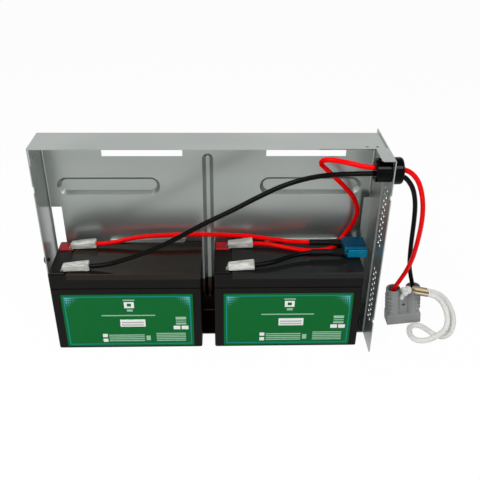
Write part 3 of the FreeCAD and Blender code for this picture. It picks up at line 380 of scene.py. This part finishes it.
plug = {
    "foot": Vector((0.21195, 0.01225, 0.00222)),    # middle of the mating face
    "lean": math.radians(6.5),
    "width": 37.5 * mm,
    "thick": 16.0 * mm,
    "height": 45.0 * mm,
    "collar": 12.5 * mm,
    "pole": 10.8 * mm,
    "barrel": 7.9 * mm,
    "bore": 6.9 * mm,
    "boreDepth": 28.0 * mm,
    "web": 7.5 * mm,
    "webTop": 40.0 * mm,
    "hole": 1.7 * mm,
    "rings": 5,
    "ringFoot": 18.0 * mm,
    "ringPitch": 4.6 * mm,
    "ringThick": 1.1 * mm,
    "ringBite": 0.15 * mm,      # how deep a grip ring sits in its barrel
    "ringReach": 0.2,           # how far it comes round, as a share of the barrel
    "cavity": (10.0 * mm, 9.0 * mm, 11.0 * mm),
    "cavityEdge": 0.2 * mm,
    "collarEdge": 0.7 * mm,
    "webEdge": 0.3 * mm,
    "barrelEdge": 0.4 * mm,
    "barrelInset": 1.0 * mm,
    "holeShare": 0.52,          # level of the lower web hole, as a share of the height
    "holeBelow": 2.2,           # the upper one lies this many radii below the web's top
    "overrun": 1.0 * mm,        # how far a cutter stands out of what it cuts
    "grain": 0.42 * mm,
}


def block(size, place, soft):  # a box with softened edges
    deselectAll()
    bpy.ops.mesh.primitive_cube_add(size=1, location=place)
    piece = bpy.context.object
    piece.scale = size
    bpy.ops.object.transform_apply(location=False, rotation=False, scale=True)
    edge = piece.modifiers.new("Bevel", "BEVEL")
    edge.width = soft
    edge.segments = 3
    applyAll(piece)
    return piece


def rod(radius, depth, place, turn=(0, 0, 0), soft=0.0):
    deselectAll()
    bpy.ops.mesh.primitive_cylinder_add(vertices=64, radius=radius, depth=depth,
                                        location=place, rotation=turn)
    piece = bpy.context.object
    if soft:
        edge = piece.modifiers.new("Bevel", "BEVEL")
        edge.width = soft
        edge.segments = 3
        applyAll(piece)
    return piece


def merge(pieces, name):
    deselectAll()
    for piece in pieces:
        piece.select_set(True)
    bpy.context.view_layer.objects.active = pieces[0]
    bpy.ops.object.join()
    joined = bpy.context.object
    joined.name = name
    deselectAll()
    joined.select_set(True)
    bpy.context.view_layer.objects.active = joined
    bpy.ops.object.transform_apply(location=True, rotation=True, scale=True)
    return joined


def cutAway(piece, tools):
    for tool in tools:
        cut = piece.modifiers.new("Cut", "BOOLEAN")
        cut.operation = "DIFFERENCE"
        cut.solver = "EXACT"
        cut.object = tool
    applyAll(piece)
    for tool in tools:
        bpy.data.objects.remove(tool)


def makePlug(look):  # two barrels on a collar, a recessed web between, grip rings outside
    height, collar, over = look["height"], look["collar"], look["overrun"]
    parts = [block((look["width"], look["thick"], collar), (0, 0, collar / 2),
                   look["collarEdge"]),
             block((2 * look["pole"], look["web"], look["webTop"] - collar / 2),
                   (0, 0, (look["webTop"] + collar / 2) / 2), look["webEdge"])]
    for side in (-1, 1):
        parts.append(rod(look["barrel"], height - 2 * look["barrelInset"],
                         (side * look["pole"], 0, height / 2 + look["barrelInset"]),
                         soft=look["barrelEdge"]))
        for index in range(look["rings"]):
            deselectAll()
            bpy.ops.mesh.primitive_torus_add(
                major_radius=look["barrel"] - look["ringBite"],
                minor_radius=look["ringThick"],
                major_segments=72, minor_segments=10,
                location=(side * look["pole"], 0,
                          look["ringFoot"] + index * look["ringPitch"]))
            ring = bpy.context.object
            bpy.ops.object.mode_set(mode="EDIT")
            bpy.ops.mesh.select_all(action="DESELECT")
            bpy.ops.object.mode_set(mode="OBJECT")
            for vertex in ring.data.vertices:
                vertex.select = side * vertex.co.x < look["ringReach"] * look["barrel"]
            bpy.ops.object.mode_set(mode="EDIT")
            bpy.ops.mesh.delete(type="VERT")
            bpy.ops.mesh.select_all(action="SELECT")
            bpy.ops.mesh.select_non_manifold()
            bpy.ops.mesh.edge_face_add()
            bpy.ops.object.mode_set(mode="OBJECT")
            parts.append(ring)
    shell = merge(parts, "plugShell")
    melt = shell.modifiers.new("Remesh", "REMESH")
    melt.mode = "VOXEL"
    melt.voxel_size = look["grain"]
    applyAll(shell)
    tools = []
    for side in (-1, 1):
        tools.append(rod(look["bore"], look["boreDepth"] + 2 * over,
                         (side * look["pole"], 0, height - look["boreDepth"] / 2 + over)))
        wide, thick, deep = look["cavity"]
        tools.append(block((wide, thick, deep + 2 * over),
                           (side * look["pole"], 0, deep / 2 - over), look["cavityEdge"]))
    for level in (look["holeShare"] * height,
                  look["webTop"] - look["holeBelow"] * look["hole"]):
        tools.append(rod(look["hole"], 2 * look["web"], (0, 0, level), (math.pi / 2, 0, 0)))
    cutAway(shell, tools)
    shell.matrix_world = (Matrix.Translation(look["foot"])
                          @ Matrix.Rotation(-look["lean"], 4, "Y"))
    pick(shell)
    bpy.ops.object.transform_apply(location=True, rotation=True, scale=True)
    bpy.ops.object.shade_smooth_by_angle(angle=math.radians(40))
    ready(shell, "connector_housing", finishes["grey"])
    print("connector moulded,", len(shell.data.polygons), "faces")


sleeveLook = {
    "height": 7.6 * mm,
    "tilt": math.radians(-4.5),
    "lift": 0.2 * mm,
    "edge": 1.0 * mm,
    "cuts": 6,
    "crumple": 0.9 * mm,
    "crumpleSize": 6 * mm,
    "crumpleLevel": 0.55,
    "crumpleStep": (0.03, 0.011),   # each sleeve reads the creases this much further on
    "nose": (0.92, 0.80),           # width and height at the nose, as shares of the block
    "flare": (0.10, 0.24),          # what each gains towards the wire
}


def makeSleeve(name, look, seed):  # a soft nylon boot, creased and a little askew
    low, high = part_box("sleeve_" + name)
    middle = (low + high) / 2
    size = high - low
    piece = block((size.x, size.y, look["height"]), (0, 0, 0), look["edge"])
    bpy.ops.object.mode_set(mode="EDIT")
    bpy.ops.mesh.select_all(action="SELECT")
    bpy.ops.mesh.subdivide(number_cuts=look["cuts"])
    bpy.ops.object.mode_set(mode="OBJECT")
    cloud = bpy.data.textures.new("sleeveCrease", "CLOUDS")
    cloud.noise_scale = look["crumpleSize"]
    crease = piece.modifiers.new("Crease", "DISPLACE")
    crease.texture = cloud
    crease.texture_coords = "OBJECT"
    anchor = bpy.data.objects.new("creaseAnchor", None)
    stepX, stepY = look["crumpleStep"]
    anchor.location = (stepX * seed, stepY * seed, 0)
    bpy.context.scene.collection.objects.link(anchor)
    crease.texture_coords_object = anchor
    crease.strength = look["crumple"]
    crease.mid_level = look["crumpleLevel"]
    applyAll(piece)
    bpy.data.objects.remove(anchor)
    for vertex in piece.data.vertices:      # a flatter nose, a flared wire end
        along = vertex.co.x / size.x + 0.5
        vertex.co.z *= look["nose"][1] + look["flare"][1] * along
        vertex.co.y *= look["nose"][0] + look["flare"][0] * along
    piece.matrix_world = (Matrix.Translation(middle + Vector((0, 0, look["lift"])))
                          @ Matrix.Rotation(look["tilt"], 4, "Y"))
    pick(piece)
    bpy.ops.object.transform_apply(location=True, rotation=True, scale=True)
    bpy.ops.object.shade_smooth_by_angle(angle=math.radians(35))
    piece.name = "boot_" + name
    ready(piece, "sleeve_" + name, finishes["sleeve"])


sheetLook = {
    "dark": (0.315, 0.342, 0.328),
    "pale": (0.415, 0.442, 0.425),
    "metal": 0.80,
    "polish": (0.279, 0.293),   # roughness where the zinc is dark and where it is pale
    # painted shade: dark brown where shade falls between the batteries
    "paintedShade": (0.055, 0.040, 0.026),
    "paintedShadeAcross": (-6.5 * mm, 7.5 * mm),   # middle and half width, between the batteries
    "paintedShadeTop": 45.0 * mm,
    "innerBack": 34.75 * mm,    # the painted shade lies on the inner faces alone
    "innerFloor": 0.5 * mm,
    "ribMiddle": -5.75 * mm,
    "ribFoot": 26.0 * mm,       # level of the centre of its lower end
    "ribHalf": 5.5 * mm,
    "ribSlope": 3.6 * mm,
    "ribDepth": 4.0 * mm,
    "cloudScale": 11.0,
    "grainScale": 28.0,
    "grainRun": (0.3, 1, 2.0),
    "grainShare": 0.22,
    "zincStops": (0.22, 0.74),
}


def galvanisedSheet(name, look):  # zinc coat with soft clouds and a brushed sheen, and painted shade between the batteries
    material, tree, shader = startMaterial(name, look["pale"], 0.3, look["metal"],
                                           Specular_IOR_Level=0.3)
    cloud = node(tree, "ShaderNodeTexNoise", Scale=look["cloudScale"], Detail=1.0)
    tree.links.new(objectPlace(tree), cloud.inputs["Vector"])
    grainRun = node(tree, "ShaderNodeTexNoise", Scale=look["grainScale"], Detail=0.0)
    tree.links.new(objectPlace(tree, scale=look["grainRun"]), grainRun.inputs["Vector"])
    mixed = maths(tree, "MULTIPLY_ADD", grainRun.outputs["Fac"], look["grainShare"],
                  maths(tree, "MULTIPLY", cloud.outputs["Fac"], 1 - look["grainShare"]))
    darkStop, paleStop = look["zincStops"]
    zinc = ramp(tree, mixed, [(darkStop, look["dark"]), (paleStop, look["pale"])])
    # painted shade between the batteries: low down on the inner faces, the rib's hollow included
    axes = objectAxes(tree)
    across = maths(tree, "COMPARE", axes["X"], *look["paintedShadeAcross"])
    low = maths(tree, "MULTIPLY",
                maths(tree, "LESS_THAN", axes["Z"], look["paintedShadeTop"]),
                maths(tree, "GREATER_THAN", axes["Z"], look["innerFloor"]))
    aside = maths(tree, "SUBTRACT", axes["X"], look["ribMiddle"])
    under = maths(tree, "MINIMUM", maths(tree, "SUBTRACT", axes["Z"], look["ribFoot"]), 0.0)
    away = maths(tree, "SQRT", maths(tree, "ADD", maths(tree, "MULTIPLY", aside, aside),
                                     maths(tree, "MULTIPLY", under, under)), 0.0)
    rib = maths(tree, "DIVIDE", maths(tree, "SUBTRACT", look["ribHalf"], away), look["ribSlope"])
    rib = maths(tree, "MINIMUM", maths(tree, "MAXIMUM", rib, 0.0), 1.0)
    face = maths(tree, "MULTIPLY_ADD", rib, look["ribDepth"], look["innerBack"])
    inner = maths(tree, "LESS_THAN", axes["Y"], face)
    low = maths(tree, "MULTIPLY", low, inner)
    zincAndShade = tree.nodes.new("ShaderNodeMix")
    zincAndShade.data_type = "RGBA"
    tree.links.new(maths(tree, "MULTIPLY", across, low), zincAndShade.inputs["Factor"])
    tree.links.new(zinc, zincAndShade.inputs["A"])
    zincAndShade.inputs["B"].default_value = (*look["paintedShade"], 1)
    tree.links.new(zincAndShade.outputs["Result"], shader.inputs["Base Color"])
    rough = node(tree, "ShaderNodeMapRange")
    rough.inputs["To Min"].default_value, rough.inputs["To Max"].default_value = look["polish"]
    tree.links.new(mixed, rough.inputs["Value"])
    tree.links.new(rough.outputs["Result"], shader.inputs["Roughness"])
    return material


def milkyNylon(name):  # cloudy clear nylon: pale streaks over a greyer body
    material, tree, shader = startMaterial(name, (0.45, 0.46, 0.42), 0.22,
                                           Specular_IOR_Level=0.4)
    place = objectPlace(tree, scale=(0.35, 1, 1))
    streak = node(tree, "ShaderNodeTexNoise", Scale=240.0, Detail=2.0)
    tree.links.new(place, streak.inputs["Vector"])
    tree.links.new(ramp(tree, streak.outputs["Fac"], [
        (0.36, (0.36, 0.37, 0.34)), (0.5, (0.48, 0.49, 0.455)), (0.64, (0.70, 0.71, 0.67))]),
        shader.inputs["Base Color"])
    bump(tree, streak.outputs["Fac"], shader, 0.25, 0.0006)
    return material


fuseTintAndLight = {
    "front": -0.0068,
    "rear": 0.0213,
    "stops": [              # share from front to rear, colour
        # the pale front lip, front face and rear edge are painted light; the dark band from 0.035
        # to 0.065 is painted shade of a groove
        (0.000, (0.001, 0.19, 0.33)), (0.020, (0.001, 0.20, 0.34)),
        (0.035, (0.0005, 0.03, 0.07)), (0.065, (0.0005, 0.03, 0.07)),
        (0.085, (0.001, 0.14, 0.25)), (0.200, (0.001, 0.13, 0.24)),
        (0.260, (0.0005, 0.055, 0.11)), (0.900, (0.0005, 0.07, 0.14)),
        (1.000, (0.001, 0.12, 0.22))],
}


def tintedLitFuse(name, look):  # clear blue, paler at the front lip, front face and rear edge as painted light, with a dark band behind the lip as painted shade of a groove
    material, tree, shader = startMaterial(name, (0.001, 0.12, 0.25), 0.28,
                                           Specular_IOR_Level=0.1)
    axes = objectAxes(tree)
    span = node(tree, "ShaderNodeMapRange")
    span.inputs["From Min"].default_value = look["front"]
    span.inputs["From Max"].default_value = look["rear"]
    tree.links.new(axes["Y"], span.inputs["Value"])
    tree.links.new(ramp(tree, span.outputs["Result"], look["stops"]),
                   shader.inputs["Base Color"])
    cloud = node(tree, "ShaderNodeTexNoise", Scale=220.0, Detail=2.0)
    tree.links.new(objectPlace(tree), cloud.inputs["Vector"])
    bump(tree, cloud.outputs["Fac"], shader, 0.08, 0.0004)
    return material


def mouldedPlastic(name, color, roughness, grainScale, depth, shine):
    material, tree, shader = startMaterial(name, color, roughness, Specular_IOR_Level=shine)
    place = objectPlace(tree)
    grain = node(tree, "ShaderNodeTexNoise", Scale=grainScale, Detail=3.0)
    patch = node(tree, "ShaderNodeTexNoise", Scale=25.0, Detail=4.0)
    tree.links.new(place, grain.inputs["Vector"])
    tree.links.new(place, patch.inputs["Vector"])
    dull = tuple(c * 0.85 for c in color)
    tree.links.new(ramp(tree, patch.outputs["Fac"], [(0.35, dull), (0.65, color)]),
                   shader.inputs["Base Color"])
    bump(tree, grain.outputs["Fac"], shader, depth, 0.0003)
    return material


def plainMetal(name, color, roughness):  # drawn or plated metal
    material, tree, shader = startMaterial(name, color, roughness, 1.0)
    place = objectPlace(tree)
    streak = node(tree, "ShaderNodeTexNoise", Scale=600.0, Detail=3.0)
    patch = node(tree, "ShaderNodeTexNoise", Scale=120.0, Detail=3.0)
    tree.links.new(place, streak.inputs["Vector"])
    tree.links.new(place, patch.inputs["Vector"])
    dull = tuple(c * 0.72 for c in color)
    tree.links.new(ramp(tree, patch.outputs["Fac"], [(0.35, dull), (0.6, color)]),
                   shader.inputs["Base Color"])
    rough = node(tree, "ShaderNodeMapRange")
    rough.inputs["To Min"].default_value = roughness * 0.75
    rough.inputs["To Max"].default_value = roughness * 1.3
    tree.links.new(streak.outputs["Fac"], rough.inputs["Value"])
    tree.links.new(rough.outputs["Result"], shader.inputs["Roughness"])
    bump(tree, streak.outputs["Fac"], shader, 0.08, 0.0002)
    return material


coverLook = {
    "span": (-0.16, 0.15),
    "left": (0.0150, 0.0095, 0.0060),   # warmer towards the left battery
    "right": (0.0110, 0.0118, 0.0120),
}


def polishedCover(name, look):
    material, tree, shader = startMaterial(name, look["left"], 0.13, Specular_IOR_Level=0.16)
    axes = objectAxes(tree)
    span = node(tree, "ShaderNodeMapRange")
    span.inputs["From Min"].default_value, span.inputs["From Max"].default_value = look["span"]
    tree.links.new(axes["X"], span.inputs["Value"])
    tree.links.new(ramp(tree, span.outputs["Result"], [(0.3, look["left"]),
                                                       (0.7, look["right"])]),
                   shader.inputs["Base Color"])
    grain = node(tree, "ShaderNodeTexNoise", Scale=450.0, Detail=2.0)
    tree.links.new(objectPlace(tree), grain.inputs["Vector"])
    bump(tree, grain.outputs["Fac"], shader, 0.03, 0.0002)
    return material


ferruleLook = {
    "middle": (0.2222, -0.0005, 0.0500),
    "fall": 0.2126,         # how far the tube drops along its run
    "reach": (0.0062, 0.0032),
    "stops": [
        # dark ends are painted shade at the tube's edges, the pale and bright bands painted
        # highlights
        (0.00, (0.10, 0.08, 0.06)), (0.12, (0.60, 0.56, 0.48)), (0.34, (0.66, 0.60, 0.50)),
        (0.44, (0.035, 0.028, 0.020)), (0.52, (0.05, 0.035, 0.02)), (0.60, (0.62, 0.42, 0.15)),
        (0.74, (0.80, 0.64, 0.33)), (0.86, (0.50, 0.42, 0.28)), (1.00, (0.16, 0.12, 0.08))],
}


def bandedBrass(name, look):  # a drawn tube with bands along it: painted shade at its edges, painted highlights on two bands, and a dark line down the middle
    material, tree, shader = startMaterial(name, (0.5, 0.4, 0.2), 0.25, 0.75)
    axes = objectAxes(tree)
    run = maths(tree, "SUBTRACT", axes["X"], look["middle"][0])
    level = maths(tree, "SUBTRACT", axes["Z"], look["middle"][2])
    level = maths(tree, "MULTIPLY_ADD", run, look["fall"], level)
    side = maths(tree, "SUBTRACT", axes["Y"], look["middle"][1])
    around = maths(tree, "ADD", maths(tree, "DIVIDE", level, look["reach"][1]),
                   maths(tree, "DIVIDE", side, look["reach"][0]))
    share = maths(tree, "MULTIPLY_ADD", around, 0.36, 0.5)
    tree.links.new(ramp(tree, share, look["stops"]), shader.inputs["Base Color"])
    streak = node(tree, "ShaderNodeTexNoise", Scale=500.0, Detail=2.0)
    tree.links.new(objectPlace(tree, scale=(0.1, 1, 1)), streak.inputs["Vector"])
    bump(tree, streak.outputs["Fac"], shader, 0.06, 0.0002)
    return material


labelPrint = {
    "left": -0.15475,       # left edge of the first label
    "foot": 0.004,
    "pitch": 0.1645,        # the second label is one pitch further
    "length": 0.133,
    "height": 0.0665,
    "border": 0.0013,
    "inset": 0.0022,
    "field": (0.003, 0.128, 0.026),
    "rim": (0.006, 0.23, 0.22),
    "dots": (0.16, 0.50, 0.56),
    "pale": (0.30, 0.52, 0.37),
    "white": (0.78, 0.80, 0.78),
    "ink": (0.42, 0.44, 0.42),
    "dotPitch": 0.0021,
    "dotReach": 0.025,
    "blocks": [             # left, right, low, high as shares of the label
        ("white", 0.430, 0.625, 0.385, 0.525),
        ("white", 0.283, 0.321, 0.180, 0.245),
        ("white", 0.283, 0.321, 0.085, 0.150),
        ("pale", 0.623, 0.657, 0.110, 0.205),
        ("pale", 0.465, 0.555, 0.885, 0.905),
        ("white", 0.472, 0.548, 0.745, 0.860),
        ("field", 0.494, 0.526, 0.775, 0.830),
        ("pale", 0.490, 0.535, 0.680, 0.720),
        ("pale", 0.292, 0.704, 0.594, 0.614),
        ("pale", 0.862, 0.943, 0.420, 0.570),
        ("white", 0.842, 0.895, 0.325, 0.395),
        ("white", 0.905, 0.958, 0.325, 0.395)],
    "stripes": [            # colour, left, right, low, high, number of lines
        ("pale", 0.332, 0.610, 0.095, 0.245, 4),
        ("pale", 0.704, 0.935, 0.095, 0.270, 5),
        ("ink", 0.440, 0.612, 0.405, 0.500, 2),
        ("field", 0.862, 0.943, 0.455, 0.535, 2)],
}


def blockMask(tree, u, v, left, right, low, high):
    across = maths(tree, "COMPARE", u, (left + right) / 2, (right - left) / 2)
    along = maths(tree, "COMPARE", v, (low + high) / 2, (high - low) / 2)
    return maths(tree, "MULTIPLY", across, along)


def printedLabel(name, look):  # green film with plain fields of colour
    material, tree, shader = startMaterial(name, look["field"], 0.3,
                                           Specular_IOR_Level=0.07)
    axes = objectAxes(tree)
    run = maths(tree, "SUBTRACT", axes["X"], look["left"])
    run = maths(tree, "MODULO", run, look["pitch"])
    rise = maths(tree, "SUBTRACT", axes["Z"], look["foot"])
    u = maths(tree, "DIVIDE", run, look["length"])
    v = maths(tree, "DIVIDE", rise, look["height"])
    shade = tree.nodes.new("ShaderNodeRGB").outputs[0]
    shade.default_value = (*look["field"], 1)

    def paint(base, mask, color):
        mix = tree.nodes.new("ShaderNodeMix")
        mix.data_type = "RGBA"
        tree.links.new(mask, mix.inputs["Factor"])
        tree.links.new(base, mix.inputs["A"])
        mix.inputs["B"].default_value = (*color, 1)
        return mix.outputs["Result"]

    wide, tall = look["length"], look["height"]
    fromEdge = maths(tree, "MINIMUM", run, maths(tree, "SUBTRACT", wide, run))
    fromRim = maths(tree, "MINIMUM", rise, maths(tree, "SUBTRACT", tall, rise))
    inward = maths(tree, "MINIMUM", fromEdge, fromRim)
    middle = look["inset"] + look["border"] / 2
    rim = maths(tree, "COMPARE", inward, middle, look["border"] / 2)
    drop = maths(tree, "SUBTRACT", tall, rise)
    corner = maths(tree, "ADD", fromEdge, drop)
    fade = maths(tree, "SUBTRACT", 1.0, maths(tree, "DIVIDE", corner, look["dotReach"]))
    spot = maths(tree, "MULTIPLY", maths(tree, "MAXIMUM", fade, 0.0), 0.75)
    gridX = maths(tree, "SUBTRACT", maths(tree, "FRACT", maths(
        tree, "DIVIDE", run, look["dotPitch"]), 0.0), 0.5)
    gridZ = maths(tree, "SUBTRACT", maths(tree, "FRACT", maths(
        tree, "DIVIDE", rise, look["dotPitch"]), 0.0), 0.5)
    far = maths(tree, "SQRT", maths(tree, "ADD", maths(tree, "MULTIPLY", gridX, gridX),
                                    maths(tree, "MULTIPLY", gridZ, gridZ)), 0.0)
    dots = maths(tree, "LESS_THAN", far, spot)
    inside = maths(tree, "GREATER_THAN", inward, look["inset"])
    shade = paint(shade, maths(tree, "MULTIPLY", dots, inside), look["dots"])
    shade = paint(shade, rim, look["rim"])
    for color, left, right, low, high in look["blocks"]:
        shade = paint(shade, blockMask(tree, u, v, left, right, low, high), look[color])
    for color, left, right, low, high, lines in look["stripes"]:
        block = blockMask(tree, u, v, left, right, low, high)
        step = maths(tree, "MULTIPLY", maths(tree, "SUBTRACT", v, low),
                     lines / (high - low))
        line = maths(tree, "LESS_THAN", maths(tree, "FRACT", step), 0.55)
        shade = paint(shade, maths(tree, "MULTIPLY", block, line), look[color])
    tree.links.new(shade, shader.inputs["Base Color"])
    grain = node(tree, "ShaderNodeTexNoise", Scale=250.0, Detail=2.0)
    tree.links.new(objectPlace(tree), grain.inputs["Vector"])
    bump(tree, grain.outputs["Fac"], shader, 0.05, 0.0002)
    return material


plastics = {            # name, colour, roughness, grain scale, grain depth, shine
    "battery": ("batteryPlastic", (0.0068, 0.0062, 0.0056), 0.34, 500.0, 0.15, 0.09),
    "redSeat": ("redSeat", (0.42, 0.012, 0.014), 0.35, 500.0, 0.1, 0.15),
    "blackSeat": ("blackSeat", (0.005, 0.005, 0.005), 0.35, 500.0, 0.1, 0.1),
    "shrink": ("shrinkTube", (0.006, 0.0055, 0.0055), 0.5, 700.0, 0.3, 0.12),
    "grey": ("connectorGrey", (0.335, 0.345, 0.345), 0.5, 600.0, 0.25, 0.2),
    "bushing": ("bushingBlack", (0.0004, 0.0004, 0.0008), 0.06, 300.0, 0.004, 0.07),
    "bumper": ("bumperBlack", (0.006, 0.006, 0.006), 0.6, 700.0, 0.3, 0.12),
}
finishes = {
    "sheet": galvanisedSheet("galvanisedSheet", sheetLook),
    "cover": polishedCover("coverPlastic", coverLook),
    "label": printedLabel("labelFilm", labelPrint),
    "tin": plainMetal("tinnedBlade", (0.52, 0.50, 0.46), roughness=0.32),
    "sleeve": milkyNylon("sleeveNylon"),
    "fuse": tintedLitFuse("fuseBlue", fuseTintAndLight),
    "silver": plainMetal("contactSilver", (0.65, 0.64, 0.60), roughness=0.3),
    "brass": bandedBrass("ferruleBrass", ferruleLook),
    "rope": whiteRope,
}
for key, row in plastics.items():
    finishes[key] = mouldedPlastic(*row)


def finishOf(name):
    if name in ("tray", "end_panel", "corner_bracket"):
        return "sheet"
    for start, key in (("battery_", "battery"), ("vent_cover", "cover"), ("label_", "label"),
                       ("terminal_seat_positive", "redSeat"),
                       ("terminal_seat_negative", "blackSeat"), ("terminal_", "tin"),
                       ("receptacle_", "tin"), ("sleeve_", "sleeve"), ("fuse_blade", "tin"),
                       ("fuse_clip", "shrink"), ("heat_shrink", "shrink"),
                       ("fuse_body", "fuse"), ("connector_", "grey"), ("contact_", "silver"),
                       ("cable_bushing", "bushing"), ("edge_bumper", "bumper"),
                       ("rope_knot", "rope"), ("rope_ferrule", "brass")):
        if name.startswith(start):
            return key
    return None


for name, piece in cad.items():
    key = finishOf(name)
    if key:
        dress(piece, finishes[key])
print("finishes given")

makePlug(plug)
for seed, name in enumerate(
        ("positive_left", "negative_left", "positive_right", "negative_right")):
    makeSleeve(name, sleeveLook, seed)
print("sleeves creased")


studio = {
    "floorTone": 0.95,
    "floorGlow": 0.96,      # share of the paper that shows pure white to the camera
    "floorMirror": 0.55,    # the same for shiny faces, so that they show its shadows too
    "skyHigh": 0.30,
    "skyLow": 0.18,
    "mirrorHigh": 0.45,     # how bright shiny faces see the sky overhead; 1 at the horizon
    "mirrorFrom": 0.45,     # the height at which that fading starts
    "skyTop": 0.90,
    "floorSize": 6.0,
    "aim": (0, 0, 0.1),     # what the lamps point at
    "lamps": [              # name, place, size, power
        ("leftLamp", (-0.60, -0.80, 1.15), 0.70, 10.5),
        ("rightLamp", (0.50, -0.80, 1.19), 0.45, 7.0),
        ("topLamp", (-0.20, 0.05, 1.30), 0.40, 2.5)],
}


def makeStudio(look):
    bpy.context.scene.view_settings.view_transform = "Standard"
    deselectAll()
    bpy.ops.mesh.primitive_plane_add(size=look["floorSize"], location=(0, 0, 0))
    floor = bpy.context.object
    floor.name = "floor"
    material, tree, shader = startMaterial("floorPaper", (look["floorTone"],) * 3, 0.9)
    shader.inputs["Specular IOR Level"].default_value = 0.1
    path = tree.nodes.new("ShaderNodeLightPath")
    glow = node(tree, "ShaderNodeEmission", Color=(1, 1, 1, 1), Strength=1.0)
    blend = tree.nodes.new("ShaderNodeMixShader")
    mirrored = maths(tree, "MAXIMUM", path.outputs["Is Glossy Ray"],
                     path.outputs["Is Transmission Ray"])
    mirrored = maths(tree, "MULTIPLY", mirrored, look["floorMirror"])
    seen = maths(tree, "MULTIPLY", path.outputs["Is Camera Ray"], look["floorGlow"])
    share = maths(tree, "MAXIMUM", seen, mirrored)
    tree.links.new(share, blend.inputs["Fac"])
    tree.links.new(shader.outputs["BSDF"], blend.inputs[1])
    tree.links.new(glow.outputs["Emission"], blend.inputs[2])
    tree.links.new(blend.outputs["Shader"], tree.nodes["Material Output"].inputs["Surface"])
    dress(floor, material)
    world = bpy.data.worlds.new("studio")
    bpy.context.scene.world = world
    world.use_nodes = True
    sky = world.node_tree
    back = sky.nodes["Background"]
    back.inputs["Color"].default_value = (1, 1, 1, 1)
    where = sky.nodes.new("ShaderNodeTexCoord")
    axes = sky.nodes.new("ShaderNodeSeparateXYZ")
    sky.links.new(where.outputs["Generated"], axes.inputs[0])
    rise = node(sky, "ShaderNodeMapRange")
    rise.inputs["From Min"].default_value = 0.0
    rise.inputs["From Max"].default_value = look["skyTop"]
    rise.inputs["To Min"].default_value = look["skyLow"]
    rise.inputs["To Max"].default_value = look["skyHigh"]
    sky.links.new(axes.outputs["Z"], rise.inputs["Value"])
    path = sky.nodes.new("ShaderNodeLightPath")
    mirrored = maths(sky, "MAXIMUM", path.outputs["Is Glossy Ray"],
                     path.outputs["Is Transmission Ray"])
    fade = node(sky, "ShaderNodeMapRange")
    fade.inputs["From Min"].default_value = look["mirrorFrom"]
    fade.inputs["From Max"].default_value = look["skyTop"]
    fade.inputs["To Min"].default_value = 1.0
    fade.inputs["To Max"].default_value = look["mirrorHigh"]
    sky.links.new(axes.outputs["Z"], fade.inputs["Value"])
    mirrored = maths(sky, "MULTIPLY", mirrored, fade.outputs["Result"])
    seen = maths(sky, "MAXIMUM", path.outputs["Is Camera Ray"], mirrored)
    level = maths(sky, "MAXIMUM", seen, rise.outputs["Result"])
    sky.links.new(level, back.inputs["Strength"])
    for title, place, size, power in look["lamps"]:
        data = bpy.data.lights.new(title, "AREA")
        data.size = size
        data.energy = power
        lamp = bpy.data.objects.new(title, data)
        lamp.location = place
        aim = Vector(look["aim"]) - Vector(place)
        lamp.rotation_euler = aim.to_track_quat("-Z", "Y").to_euler()
        bpy.context.scene.collection.objects.link(lamp)
    print("floor and light set")


makeStudio(studio)
